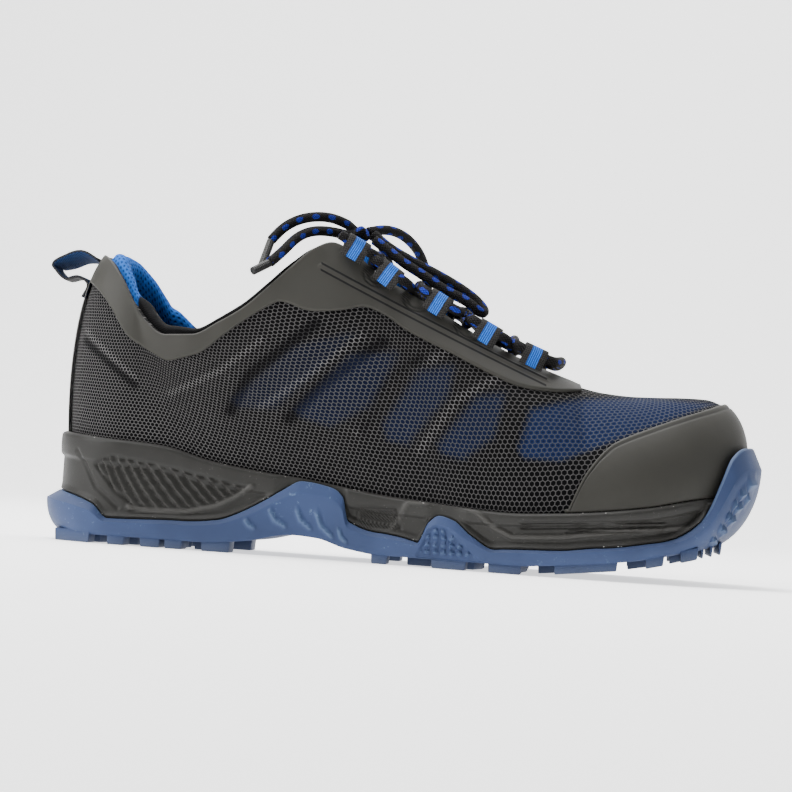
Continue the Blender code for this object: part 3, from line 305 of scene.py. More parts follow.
# Blue showing through the upper's mesh, with how strongly, and its folds, with painted shade in their dips and
# a painted highlight on their ridges
WINDOWS = (
    (((-66.7, 62.2), (-42.6, 85.8), (-16, 94.3), (-28.6, 79.5), (-47.6, 59.3), (-63.5, 58.7)), 0.16),
    (((-40.5, 59.9), (-19.1, 84), (1.6, 86.7), (-9.5, 62.8), (-25.2, 53.3), (-38, 56.7)), 0.26),
    (((-3.8, 55.9), (9.2, 78.6), (23.9, 83.2), (22.1, 69.4), (7.2, 48.4), (-1.5, 49.4)), 0.34),
    (((19.4, 49.4), (33.5, 70.1), (45.3, 73.1), (42, 53.7), (30, 43.8), (20.4, 45.7)), 0.42),
    (
        (
            (51.9, 49.3), (55.5, 66.2), (75, 73.2), (100, 76), (131.1, 75.2), (118, 69), (101, 61.3),
            (81.2, 51.7), (68.8, 46), (54.1, 46.2),
        ),
        1.0,
    ),
)
CREASES = (
    (((-91.5, 63), (-71.8, 73.4), (-55.7, 87.6)), 1.25, 0.55),
    (((-53.7, 59.9), (-35, 74.3), (-15, 92.1)), 1.25, 0.55),
    (((-66, 57.5), (-59.5, 72.6), (-34.1, 95.6)), 2.4, -0.6),
    (((-42, 56), (-30, 70), (-6, 90)), 2.4, -0.55),
    (((-14, 52), (-1, 74), (20, 88)), 1.25, 0.4),
    (((12, 46), (26, 68), (44, 80)), 1.25, 0.35),
    (((-12, 54), (-3, 72), (10, 84)), 2.2, -0.45),
    (((-131.2, 87.2), (-119.9, 78.3), (-106.9, 68.8)), 1.2, 0.35),
    (((-131, 83), (-119.5, 74.8), (-106.5, 65.6)), 1.5, -0.3),
)

# The sewn loops: how much wider than high, how much narrower and thinner than their solids, and steps round
LOOP_SQUEEZE = 1.1
LOOP_NARROWED, LOOP_THINNED = 0.84, 0.85
LOOP_STEPS = 26

# Ridge between the eyestay's two cuts, in millimetres along and up
RIDGE = ((-34.4, 119.3), (-15.4, 110.3), (5.6, 101.3), (27.5, 91.6), (43.5, 84.7), (60.4, 78.2))

# Eyelets of the eyestay, round the way and up the wall, and the radii of their rings in millimetres
EYELETS = ((0.629, 0.95), (0.668, 0.958), (0.596, 0.945))
EYELET_RINGS = (4.0, 5.6)

# The eyestay's two cuts: a point of the upper one, where its curve meets its chord again, fall and curve
CUT_X, CUT_Z = 6.1 * MM, 102.6 * MM
CUT_CHORD = -33.9 * MM
CUT_FALL, CUT_CURVE = 0.45, 0.3

# Millimetres across the cuts for a metre up, their distance, soft edge, and where both begin and end
CUT_ACROSS = 917
CUT_APART = 2.54
CUT_EDGE = (0.28, 0.5)
CUT_BEGIN, CUT_END = (-34.5 * MM, -34 * MM), (60.6 * MM, 61.1 * MM)

# Stations round the shoe of each moulded piece, and rows up the ones that carry relief
OUTSOLE_STATIONS, MIDSOLE_STATIONS, INSOLE_STATIONS, UPPER_STATIONS = 1100, 860, 300, 420
CAP_STATIONS, FILM_STATIONS, STRIP_STATIONS, ROLL_STATIONS, TONGUE_STATIONS = 190, 700, 24, 230, 90
MIDSOLE_ROWS, UPPER_ROWS, CAP_ROWS, FILM_ROWS, STRIP_ROWS = 42, 58, 40, 70, 30

# Tread blocks: how much they narrow to the ground, their rounded edge, and a toe bar's length
BLOCK_TAPER, BLOCK_EDGE = 0.4 * MM, 0.45 * MM
TOE_BAR, TOE_BAR_REACH = 0.005, 0.75

# Rounding of a cord's ends: share of its thickness left, and how far out, as a share of the end's reach
CORD_END = ((0.0, 1.0), (0.55, 0.83), (0.9, 0.45))
CORD_END_REACH = 0.3

# Section of a flat tape: across, as a share of half its width, and through its thickness
TAPE_EDGE = ((-1, 0.3), (-0.96, 0.05), (-0.6, 0), (-0.2, 0), (0.2, 0), (0.6, 0), (0.96, 0.05), (1, 0.3))

# Space between the stations of the cords, the knot's own size in millimetres, and smoothing of the bow
CORD_STEP, AGLET_STEP = 1.2 * MM, 0.8 * MM
KNOT_SPREAD = (1.15, 0.85, 1.5)
BOW_PASSES = 10

# Studio lights, each with its share of the key light's power, and the sweep of the floor behind the shoe
LIGHTS = table(
    "name place size power aim",
    ("overhead", (-0.35, 0.1, 1.4), 1.0, 3.8, (0, 0, 0.05)),
    ("heel", (-1.4, -0.7, 0.8), 0.6, 3.0, (-0.1, 0, 0.07)),
    ("toe", (1.5, 0.3, 1.1), 0.9, 0.5, (0.1, 0, 0.05)),
    ("backdrop", (0.0, 1.2, 2.6), 2.4, 8.0, (0, 2.8, 1.0)),
)
WORLD_LIGHT = 0.14
SWEEP_START, SWEEP_RADIUS, SWEEP_TOP = 1.6, 1.2, 6.0


def smoothed(value, low, high):
    """0 below low, 1 above high, and a smooth rise between them."""
    share = np.clip((value - low) / (high - low), 0, 1)
    return share * share * (3 - 2 * share)


class Course:
    """A smooth curve through one column of a table, which never swings past its rows."""

    def __init__(self, table, column):
        self.places = np.array([row[0] for row in table], float)
        self.values = np.array([getattr(row, column) for row in table], float)
        rates = np.diff(self.values) / np.diff(self.places)
        same_way = rates[:-1] * rates[1:] > 0
        total = np.where(same_way, rates[:-1] + rates[1:], 1)
        middle = np.where(same_way, 2 * rates[:-1] * rates[1:] / total, 0)
        self.slopes = np.concatenate(([rates[0]], middle, [rates[-1]]))

    def __call__(self, at):
        at = np.clip(at, self.places[0], self.places[-1])
        i = np.clip(np.searchsorted(self.places, at, side="right") - 1, 0, len(self.places) - 2)
        step = self.places[i + 1] - self.places[i]
        t = (at - self.places[i]) / step
        return (
            self.values[i] * (1 + 2 * t) * (1 - t) ** 2
            + self.slopes[i] * step * t * (1 - t) ** 2
            + self.values[i + 1] * t * t * (3 - 2 * t)
            + self.slopes[i + 1] * step * t * t * (t - 1)
        )


@lru_cache(None)
def course(table, column):
    return Course(table, column)


def read(table, column, at):
    return course(table, column)(at)


def wrapped(r):
    """Stations kept between -1 and 1, past the toe onto the other side."""
    return (np.asarray(r, float) + 1) % 2 - 1


def along(around):
    """Share of the length at a share of the way round from heel to toe."""
    heel = HEEL_END * (1 - np.cos(pi / 2 * np.minimum(around, HEEL_TURN) / HEEL_TURN))
    toe = TOE_END + (1 - TOE_END) * np.sin(pi / 2 * (around - TOE_TURN) / (1 - TOE_TURN))
    straight = HEEL_END + (TOE_END - HEEL_END) * (around - HEEL_TURN) / (TOE_TURN - HEEL_TURN)
    return np.where(around < HEEL_TURN, heel, np.where(around > TOE_TURN, toe, straight))


def roundness(share):
    """How much of its half width the sole keeps in its round ends."""
    heel = np.clip((HEEL_END - share) / HEEL_END, 0, 1)
    toe = np.clip((share - TOE_END) / (1 - TOE_END), 0, 1)
    return (1 - heel**HEEL_SQUARE) ** (1 / HEEL_SQUARE) * (1 - toe**TOE_SQUARE) ** (1 / TOE_SQUARE)


def x_at(share):
    return LENGTH * share - ORIGIN_X


def share_at(x):
    return np.clip((x + ORIGIN_X) / LENGTH, 0, 1)


def edge(r):
    """The sole's outline in plan."""
    r = wrapped(r)
    share = along(np.abs(r))
    half = read(OUTLINE, "half", share) * BALL_WIDTH * roundness(share)
    centre = read(OUTLINE, "centre", share) * BALL_WIDTH
    return np.stack([x_at(share), centre + np.where(r > 0, half, -half)], -1)


def outward(r):
    """Level direction straight out of the outline."""
    way = edge(r + 0.004) - edge(r - 0.004)
    out = np.stack([-way[..., 1], way[..., 0]], -1)
    return out / np.linalg.norm(out, axis=-1, keepdims=True)


def inside(r, inset, height):
    """Points a distance inside the outline, at a height."""
    r, inset, height = np.broadcast_arrays(np.asarray(r, float), inset, height)
    plan = edge(r) - outward(r) * inset[..., None]
    return np.concatenate([plan, height[..., None]], -1)


def tread(share):
    return read(TREAD, "spring", share) * TOE_STACK


def floor(share):
    """Height of the outsole's underside between its blocks."""
    return tread(share) + LUG_DEPTH + read(TREAD, "arch", share) * ARCH_LIFT


def station_share(r):
    return along(np.abs(wrapped(r)))


def bite(r):
    """Height of the line where the upper meets the sole."""
    share = station_share(r)
    stacks = (("heel", HEEL_STACK), ("ball", BALL_STACK), ("toe", TOE_STACK))
    return sum(read(BITE, column, share) * size for column, size in stacks)


def rim(r):
    """Height of the cup's top edge, fins and bumper included."""
    share = station_share(r)
    fins = (("cup", CUP_HEIGHT), ("arch", ARCH_FIN), ("ball", BALL_FIN), ("bumper", BUMPER_HEIGHT))
    return sum(read(CUP, column, share) * size for column, size in fins)


def side(r, column):
    return read(SIDE, column, station_share(r)) * BALL_WIDTH


def top_edge(r):
    """The upper's top edge: collar, throat, or ridge."""
    r = wrapped(r)
    way = np.abs(r)
    x = x_at(read(WALL, "along", way))
    half = read(WALL, "half", way) * BALL_WIDTH
    level = INSTEP + (HEEL_HEIGHT - INSTEP) * np.maximum(0, 1 - way / 0.5)
    height = read(WALL, "height", way) * level
    swell = np.where((r > 0) & (way < THROAT_TOP), np.sin(pi * way / THROAT_TOP) ** 2, 0)
    x = x + INNER_COLLAR_FORWARD * swell
    height = height + INNER_COLLAR_UP * swell
    centre = read(OUTLINE, "centre", share_at(x)) * BALL_WIDTH * 0.5
    return np.stack([x, centre + np.where(r > 0, half, -half), height], -1)


def bare_wall(r, up):
    """The upper's outer face: up runs from 0 at its foot to 1 at its top edge."""
    r, up = np.broadcast_arrays(np.asarray(r, float), up)
    way = np.abs(wrapped(r))
    foot = inside(r, side(r, "foot"), bite(r) - SOCK_DEPTH + GAP)
    top = top_edge(r)
    out = foot[..., :2] - top[..., :2]
    out = out / np.linalg.norm(out, axis=-1, keepdims=True)
    pitch = np.radians(read(WALL, "pitch", way))
    lean, rise, shoulder = (read(WALL, column, way) * INSTEP for column in ("lean", "rise", "shoulder"))
    low = foot.copy()
    low[..., :2] += outward(r) * lean[..., None]
    low[..., 2] += rise
    high = top.copy()
    high[..., :2] += out * (shoulder * np.cos(pitch))[..., None]
    high[..., 2] -= shoulder * np.sin(pitch)
    left, up = (1 - up)[..., None], up[..., None]
    return foot * left**3 + low * 3 * left * left * up + high * 3 * left * up * up + top * up**3


def wall_normal(r, up):
    across = bare_wall(r + 0.004, up) - bare_wall(r - 0.004, up)
    upward = bare_wall(r, np.minimum(up + 0.004, 1)) - bare_wall(r, np.minimum(up, 1) - 0.004)
    normal = np.cross(upward, across)
    return normal / np.linalg.norm(normal, axis=-1, keepdims=True)


def wall(r, up, out=0.0):
    """Points out from the upper's face, or inside it where out is negative."""
    r, up, out = np.broadcast_arrays(np.asarray(r, float), up, out)
    top = bare_wall(r, np.ones_like(up))
    past = (top - bare_wall(r, np.full_like(up, 0.96))) * ((up - 1) / 0.04)[..., None]
    base = np.where((up > 1)[..., None], top + past, bare_wall(r, np.minimum(up, 1)))
    return base + wall_normal(r, np.minimum(up, 1)) * out[..., None]


def run_of(points, axis):
    """Length run so far along one axis of a grid of points, in millimetres."""
    steps = np.linalg.norm(np.diff(points, axis=axis), axis=-1)
    start = np.zeros_like(steps.take([0], axis))
    return np.concatenate([start, np.cumsum(steps, axis)], axis) / MM


def grid_measure(points):
    """Millimetres run along the columns and the rows of a grid of points."""
    return np.stack([run_of(points, 0), run_of(points, 1)], -1)


def line_distance(x, z, line):
    """Distance in the side view from places to a line of several points, in millimetres."""
    best = np.full(np.shape(x), 1e9)
    for (x0, z0), (x1, z1) in zip(line, line[1:]):
        dx, dz = x1 - x0, z1 - z0
        share = np.clip(((x - x0) * dx + (z - z0) * dz) / (dx * dx + dz * dz), 0, 1)
        best = np.minimum(best, np.hypot(x - x0 - dx * share, z - z0 - dz * share))
    return best


def within(x, z, outline):
    """Distance in the side view to an outline's edge, negative outside it, in millimetres."""
    closed = list(outline) + [outline[0]]
    crossed = np.zeros(np.shape(x), int)
    for (x0, z0), (x1, z1) in zip(closed, closed[1:]):
        if z0 != z1:
            crossed += ((z0 > z) != (z1 > z)) & (x < (x1 - x0) * (z - z0) / (z1 - z0) + x0)
    return line_distance(x, z, closed) * np.where(crossed % 2, 1, -1)


def between(before, a, b, after, t):
    """Point at a share t of the way from a to b, on a smooth curve through four points."""
    bend = (2 * before - 5 * a + 4 * b - after) * t * t
    return 0.5 * (2 * a + (b - before) * t + bend + (3 * a - before - 3 * b + after) * t**3)


def smooth_route(points, spacing):
    """Points about a spacing apart on a smooth curve through a route's own points."""
    points = [Vector(point) for point in points]
    ends = [points[0] * 2 - points[1]] + points + [points[-1] * 2 - points[-2]]
    route = []
    for i in range(1, len(ends) - 2):
        before, a, b, after = ends[i - 1 : i + 3]
        count = max(1, round((b - a).length / spacing))
        route += [between(before, a, b, after, k / count) for k in range(count)]
    return route + [ends[-2]]


def eased(route, passes):
    """A route whose inner points are drawn towards their neighbours, so that it has no kink."""
    for _ in range(passes):
        inner = [(a + b * 2 + c) / 4 for a, b, c in zip(route, route[1:], route[2:])]
        route = [route[0]] + inner + [route[-1]]
    return route


def metres(points):
    return [Vector(point) * MM for point in points]


def loop_frame(index, hand):
    """Centre of a webbing loop, the way the lace runs through it, and its up direction."""
    r = LOOPS[index] * hand
    base = Vector(wall(r, LOOP_UP))
    up = (Vector(wall_normal(r, LOOP_UP)) + Vector((0, 0, 0.6))).normalized()
    forward = Vector(top_edge(r + 0.012 * hand) - top_edge(r - 0.012 * hand)).normalized()
    up = (up - forward * up.dot(forward)).normalized()
    tall = LACE / 2 + LOOP_CLEARANCE + LOOP_WALL
    return base + up * (FILM_GAP + FILM_WALL + GAP + tall + LOOP_STAND), forward, up


def through_loop(index, hand, sense):
    """The lace's way through a webbing loop, lifted a little off the film at both ends."""
    centre, forward, up = loop_frame(index, hand)
    half = forward * (LOOP_WIDTH / 2 + LACE_STRAIGHT) * sense
    return [centre - half + up * LACE_LIFT, centre, centre + half + up * LACE_LIFT]


def lace_route():
    """The lace from the top outer loop by the crossings to the front bar and back up."""
    count = len(LOOPS)
    down = [(index, -1 if index % 2 == 0 else 1, 1) for index in range(count)]
    back = [(index, -hand, -1) for index, hand, _ in reversed(down)]
    route = []
    for index, hand, sense in down + back:
        leg = through_loop(index, hand, sense)
        if route:
            turning = index == count - 1 and sense < 0
            shift = (FRONT_BAR, 0, FRONT_BAR / 3) if turning else (0, 0, CROSSING_RISE * sense)
            route.append((route[-1] + leg[0]) / 2 + Vector(shift))
        route += leg
    return route


def clear_choice():
    """Puts every object out of the selection, so an operator acts on one piece alone."""
    bpy.ops.object.select_all(action="DESELECT")


def choose(obj):
    clear_choice()
    obj.select_set(True)
    bpy.context.view_layer.objects.active = obj


def edit_all(*steps):
    """Runs edit-mode operators on the whole of the active piece."""
    bpy.ops.object.mode_set(mode="EDIT")
    bpy.ops.mesh.select_all(action="SELECT")
    for step, settings in steps:
        step(**settings)
    bpy.ops.object.mode_set(mode="OBJECT")


def worked(obj, kind, **settings):
    """Adds a modifier to a piece, sets it and applies it."""
    choose(obj)
    modifier = obj.modifiers.new(kind.title(), kind)
    for name, value in settings.items():
        setattr(modifier, name, value)
    bpy.ops.object.modifier_apply(modifier=modifier.name)


def spots(obj):
    places = np.empty(len(obj.data.vertices) * 3)
    obj.data.vertices.foreach_get("co", places)
    return places.reshape(-1, 3)


def mark_points(obj, name, values):
    obj.data.attributes.new(name, "FLOAT", "POINT").data.foreach_set("value", values.astype(np.float32))


def laid_grid(name, points, measure, shell=False, turned=True, marks=None):
    """A grid primitive laid over columns and rows of points, equal ones joined, with a measured UV map."""
    columns, rows = points.shape[:2]
    clear_choice()
    bpy.ops.mesh.primitive_grid_add(x_subdivisions=columns - 1, y_subdivisions=rows - 1, size=2)
    obj = bpy.context.object
    obj.name = obj.data.name = name
    mesh = obj.data
    flat = spots(obj)
    i = np.rint((flat[:, 0] + 1) / 2 * (columns - 1)).astype(int)
    j = np.rint((flat[:, 1] + 1) / 2 * (rows - 1)).astype(int)
    mesh.vertices.foreach_set("co", points[i, j].ravel())
    corners = np.empty(len(mesh.loops), dtype=np.int32)
    mesh.loops.foreach_get("vertex_index", corners)
    mesh.uv_layers.active.name = "UVMap"
    mesh.uv_layers.active.data.foreach_set("uv", measure[i[corners], j[corners]].ravel())
    for mark, values in (marks or {}).items():
        mark_points(obj, mark, np.broadcast_to(values, (columns, rows))[i, j])
    mesh.update()
    steps = [(bpy.ops.mesh.remove_doubles, {"threshold": 1e-6})]
    if shell:
        steps.append((bpy.ops.mesh.normals_make_consistent, {"inside": False}))
    elif turned:
        steps.append((bpy.ops.mesh.flip_normals, {}))
    edit_all(*steps)
    return obj


def finished(obj, paints, slot, *nodes, smooth=40):
    """Gives a piece its finish and its body, and hides the solids that it stands for."""
    obj.data.materials.clear()
    for paint in paints:
        obj.data.materials.append(paint)
    choose(obj)
    bpy.ops.object.shade_smooth_by_angle(angle=radians(smooth))
    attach(obj, "root")
    if nodes:
        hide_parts(*nodes)


def joined(pieces):
    """One piece of several, named after the first."""
    clear_choice()
    for piece in pieces:
        piece.select_set(True)
    bpy.context.view_layer.objects.active = pieces[0]
    bpy.ops.object.join()
    return pieces[0]


def tube(name, route, width, sides=16, closed=False):
    """A round cord laid along a route, its ends rounded over where it isn't closed."""
    path = np.array([tuple(point) for point in route])
    ways = np.gradient(path, axis=0)
    if closed:
        ways[0] = ways[-1] = path[1] - path[-2]
    ways /= np.linalg.norm(ways, axis=1, keepdims=True)
    across = np.cross(ways[0], (0.31, 0.17, 0.93))
    frames = []
    for way in ways:
        across = across - way * across.dot(way)
        across = across / np.linalg.norm(across)
        frames.append((across, np.cross(way, across)))
    radius = np.full(len(path), width / 2)
    run = np.concatenate(([0], np.cumsum(np.linalg.norm(np.diff(path, axis=0), axis=1)))) / MM
    if not closed:
        reach = width / 2 * CORD_END_REACH
        lead = [path[0] - ways[0] * reach * far for _, far in CORD_END]
        tail = [path[-1] + ways[-1] * reach * far for _, far in CORD_END[::-1]]
        path = np.concatenate([lead, path, tail])
        thin = [width / 2 * near for near, _ in CORD_END]
        radius = np.concatenate([thin, radius, thin[::-1]])
        frames = [frames[0]] * 3 + frames + [frames[-1]] * 3
        run = np.concatenate([[run[0]] * 3, run, [run[-1]] * 3])
    angles = np.linspace(0, 2 * pi, sides + 1)
    rings = [
        point + size * (np.outer(np.cos(angles), a) + np.outer(np.sin(angles), b))
        for point, size, (a, b) in zip(path, radius, frames)
    ]
    measure = np.stack(np.meshgrid(run, angles * width / 2 / MM, indexing="ij"), -1)
    return laid_grid(name, np.array(rings), measure, shell=True)


def maths_step(operation):
    """A method that adds one Math node to a number that changes over a surface."""
    return lambda number, *others: number.maths(operation, *others)


class Varying:
    """A number that changes over a surface: Python's operators on it add Math nodes."""

    def __init__(self, paint, socket):
        self.paint = paint
        self.socket = socket

    def maths(self, operation, *others):
        values = dict(enumerate((self,) + others))
        return Varying(self.paint, self.paint.node("Math", {"operation": operation}, values))

    __add__ = __radd__ = maths_step("ADD")
    __sub__ = maths_step("SUBTRACT")
    __mul__ = __rmul__ = maths_step("MULTIPLY")
    __truediv__ = maths_step("DIVIDE")
    __abs__ = maths_step("ABSOLUTE")
    least = maths_step("MINIMUM")
    most = maths_step("MAXIMUM")
    sine = maths_step("SINE")
    whole = maths_step("FLOOR")
    rest = maths_step("FRACT")

    def __rsub__(self, other):
        return Varying(self.paint, self.paint.node("Math", {"operation": "SUBTRACT"}, {0: other, 1: self}))

    def share(self, low, high):
        """0 at low, 1 at high, held between them and smooth."""
        settings = {"interpolation_type": "SMOOTHSTEP"}
        values = {"Value": self, "From Min": low, "From Max": high}
        return Varying(self.paint, self.paint.node("MapRange", settings, values))


class Paint:
    """A material made of nodes; node() makes every kind of them."""

    def __init__(self, name):
        self.material = bpy.data.materials.new(name)
        self.material.use_nodes = True
        self.tree = self.material.node_tree
        self.shader = self.tree.nodes["Principled BSDF"]

    def fill(self, socket, value):
        if isinstance(value, Varying):
            value = value.socket
        if isinstance(value, bpy.types.NodeSocket):
            self.tree.links.new(value, socket)
        elif socket.type == "RGBA":
            socket.default_value = (*value, 1) if len(value) == 3 else value
        else:
            socket.default_value = value

    def node(self, kind, settings=None, values=None, out=0):
        made = self.tree.nodes.new("ShaderNode" + kind)
        for name, value in (settings or {}).items():
            setattr(made, name, value)
        for name, value in (values or {}).items():
            self.fill(made.inputs[name], value)
        return made.outputs[out]

    def place(self):
        """Place on the object, in metres."""
        return self.node("TexCoord", out="Object")

    def spread(self):
        """Millimetres along and across the piece's own UV map."""
        split = self.node("SeparateXYZ", None, {0: self.node("UVMap", {"uv_map": "UVMap"})})
        return Varying(self, split), Varying(self, split.node.outputs[1])

    def mark(self, name):
        """A mark that the piece's own points carry."""
        return Varying(self, self.node("Attribute", {"attribute_name": name}, out="Fac"))

    def noise(self, scale, detail=2.0, roughness=0.5):
        values = {"Scale": scale, "Detail": detail, "Roughness": roughness, "Vector": self.place()}
        return Varying(self, self.node("TexNoise", None, values))

    def cells(self, scale):
        return Varying(self, self.node("TexVoronoi", None, {"Scale": scale, "Vector": self.place()}))

    def mix(self, share, first, second):
        return self.node("Mix", {"data_type": "RGBA"}, {0: share, 6: first, 7: second}, out=2)

    def bump(self, height, deep, below=None):
        """Relief from a height between 0 and 1, deep metres in all."""
        values = {"Height": height, "Distance": deep, "Strength": 1.0}
        if below is not None:
            values["Normal"] = below
        return self.node("Bump", None, values)

    def finish(self, colour, roughness, normal=None, **constants):
        self.fill(self.shader.inputs["Base Color"], colour)
        self.fill(self.shader.inputs["Roughness"], roughness)
        if normal is not None:
            self.fill(self.shader.inputs["Normal"], normal)
        for name, value in constants.items():
            self.fill(self.shader.inputs[name.replace("_", " ").title().replace("Ior", "IOR")], value)
        return self.material


def honeycomb(u, v):
    """Distance from the middle of the nearest cell, 0 there and 0.5 at its walls, over cells one wide."""
    tall, slant = 1.732, 0.866
    first_u, first_v = u.rest() - 0.5, (v / tall).rest() * tall - slant
    second_u, second_v = (u + 0.5).rest() - 0.5, (v / tall + 0.5).rest() * tall - slant
    spans = []
    for across, up in ((first_u, first_v), (second_u, second_v)):
        across, up = abs(across), abs(up)
        spans.append(across.most(across * 0.5 + up * slant))
    return spans[0].least(spans[1])


def toned(tint, share):
    """A colour made darker or lighter by a share."""
    return [part * share for part in tint]


def colours():
    return bpy.context.scene.sneaker_colours


def sizes():
    return bpy.context.scene.sneaker_sizes


def rubber_paint():
    paint = Paint("moulded blue rubber")
    fine = paint.noise(2600, 2, 0.6)
    broad = paint.noise(38, 3, 0.55)
    scuffs = paint.noise(420, 4, 0.7).share(0.6, 0.72) * broad.share(0.45, 0.65)
    tint = colours().rubber
    dark = paint.mix(broad.share(0.3, 0.75), toned(tint, 0.86), toned(tint, 1.12))
    # Scuffs are wear. The ridge highlight is a painted highlight on the ribs, dots and lip. Both are mixed
    # towards a pale blue.
    colour = paint.mix(scuffs * 0.35 + paint.mark("raised") * 0.2, dark, (0.16, 0.25, 0.40))
    colour = paint.mix(paint.mark("worn") * (fine.share(0.3, 0.8) * 0.4 + 0.3), colour, (0.10, 0.11, 0.13))
    normal = paint.bump(fine, 0.00006, paint.bump(broad, 0.0002))
    return paint.finish(colour, 0.52 + fine * 0.14 - scuffs * 0.08, normal, specular_ior_level=0.18)


def foam_paint():
    paint = Paint("moulded black midsole")
    fine = paint.noise(3200, 2, 0.65)
    broad = paint.noise(30, 3, 0.6)
    dust = paint.noise(900, 3, 0.7).share(0.63, 0.72) * broad.share(0.4, 0.6)
    tint = colours().foam
    colour = paint.mix(broad.share(0.25, 0.8), toned(tint, 0.82), toned(tint, 1.2))
    # Dust is real. The ridge highlight is a painted highlight on the ribs, lip, bars and rail.
    colour = paint.mix(dust * 0.3 + paint.mark("raised") * 0.16, colour, (0.15, 0.145, 0.135))
    specks = (1 - paint.cells(620).share(0.1, 0.22)) * paint.noise(120, 2).share(0.52, 0.62)
    colour = paint.mix(specks * paint.mark("glue"), colour, (0.62, 0.61, 0.58))
    lines, up = paint.spread()
    weave = ((lines + up) * 1.9).sine() * ((lines - up) * 1.9).sine()
    badge = paint.mark("badge")
    normal = paint.bump(fine, 0.00005, paint.bump(badge * weave, 0.0003, paint.bump(broad, 0.0003)))
    return paint.finish(colour, 0.44 + fine * 0.16 + dust * 0.15, normal, specular_ior_level=0.2)


def mesh_paint():
    """Air mesh: a knitted honeycomb over dark bands, and over blue ones in its windows."""
    paint = Paint("black air mesh")
    u, v = paint.spread()
    sway = paint.noise(60, 1)
    span = honeycomb(u + sway * 0.5, v + paint.noise(45, 1) * 0.5)
    hole = 1 - span.share(0.375, 0.435)
    deep = 1 - span.share(0.0, 0.42)
    fibre = paint.noise(5200, 2, 0.6)
    tint = colours().mesh
    yarn = paint.mix(fibre, toned(tint, 0.7), toned(tint, 1.5))
    # Painted highlight along the crown of each yarn
    yarn = paint.mix(span.share(0.44, 0.5) * 0.6, yarn, toned(tint, 2.6))
    # Painted shade: the yarn darkens towards the toe
    x = Varying(paint, paint.node("SeparateXYZ", None, {0: paint.place()}))
    yarn = paint.mix(x.share(-0.13, 0.05) * 0.42, yarn, (0.004, 0.004, 0.004))
    # Painted shade in the dips of the folds and a painted highlight on their ridges
    crease_shading = paint.mark("crease_shading")
    yarn = paint.mix(crease_shading.share(0.0, 0.8) * 0.75, yarn, (0.006, 0.006, 0.007))
    yarn = paint.mix((0 - crease_shading).share(0.0, 0.8) * 0.55, yarn, toned(tint, 3.2))
    window = paint.mark("window")
    under = paint.mix(window, (0.0015, 0.0015, 0.0018), colours().window)
    # Painted shade in the windows, darkest in the middle of each hole
    under = paint.mix(deep * 0.85 * window, under, (0.0015, 0.003, 0.010))
    yarn = paint.mix(window * 0.35, yarn, (0.016, 0.030, 0.075))
    colour = paint.mix(hole, yarn, under)
    normal = paint.bump(1 - hole, 0.0005, paint.bump(fibre, 0.00005))
    return paint.finish(colour, 0.6 + fibre * 0.14 + hole * 0.24, normal, specular_ior_level=0.06)


def film_paint():
    """Grey film with the dark cuts of the eyestay, which are worked out from the place on the shoe."""
    paint = Paint("fused grey film")
    fine = paint.noise(4200, 2, 0.6)
    broad = paint.noise(26, 3, 0.55)
    split = paint.node("SeparateXYZ", None, {0: paint.place()})
    x, z = Varying(paint, split), Varying(paint, split.node.outputs[2])
    bend = (x - CUT_X) * (x - CUT_CHORD) * CUT_CURVE
    off = (z - CUT_Z + (x - CUT_X) * CUT_FALL - bend) * CUT_ACROSS
    line = (1 - abs(off).share(*CUT_EDGE)).most(1 - abs(off + CUT_APART).share(*CUT_EDGE))
    line = line * x.share(*CUT_BEGIN) * (1 - x.share(*CUT_END))
    # Dark lines of the cuts, and painted shade in the pressed line of the toe cap and in the eyelet rings
    groove = paint.mark("groove").most(line)
    tint = colours().film
    colour = paint.mix(broad.share(0.3, 0.75), toned(tint, 0.9), toned(tint, 1.1))
    colour = paint.mix(groove, colour, (0.004, 0.004, 0.0045))
    normal = paint.bump(fine, 0.00003, paint.bump(broad, 0.0003))
    return paint.finish(colour, 0.5 + fine * 0.1 + groove * 0.2, normal, specular_ior_level=0.16)


def lining_paint():
    """Spacer mesh, blue round the heel and black knit further forward."""
    paint = Paint("collar spacer mesh")
    u, v = paint.spread()
    span = honeycomb(u / 2.3, v / 2.3)
    dimple = 1 - span.share(0.08, 0.34)
    fibre = paint.noise(4200, 2, 0.6)
    ribs = ((u * 6.4).sine() * (v * 6.4).sine()).share(-0.2, 0.9)
    tint = colours().lining
    blue = paint.mix(dimple * 0.75, paint.mix(fibre, toned(tint, 0.75), tint), toned(tint, 0.22))
    black = paint.mix(ribs, (0.003, 0.003, 0.0035), (0.014, 0.014, 0.015))
    knit = paint.mark("knit")
    colour = paint.mix(knit, blue, black)
    relief = (1 - dimple) * (1 - knit) + ribs * knit
    normal = paint.bump(relief, 0.0005, paint.bump(fibre, 0.00006))
    return paint.finish(colour, 0.8 + fibre * 0.12, normal, specular_ior_level=0.1)


def textile_paint(name, tint, pitch):
    """A close black textile, for the sock, the tongue and the lining inside."""
    paint = Paint(name)
    u, v = paint.spread()
    warp = (u * (pi / pitch)).sine() * (v * (pi / pitch)).sine()
    fibre = paint.noise(3600, 2, 0.6)
    rows = warp.share(-0.8, 0.8)
    colour = paint.mix(rows * 0.6 + fibre * 0.4, toned(tint, 0.4), toned(tint, 1.4))
    normal = paint.bump(rows, 0.0003, paint.bump(fibre, 0.00006))
    return paint.finish(colour, 0.82 + fibre * 0.12, normal, specular_ior_level=0.06)


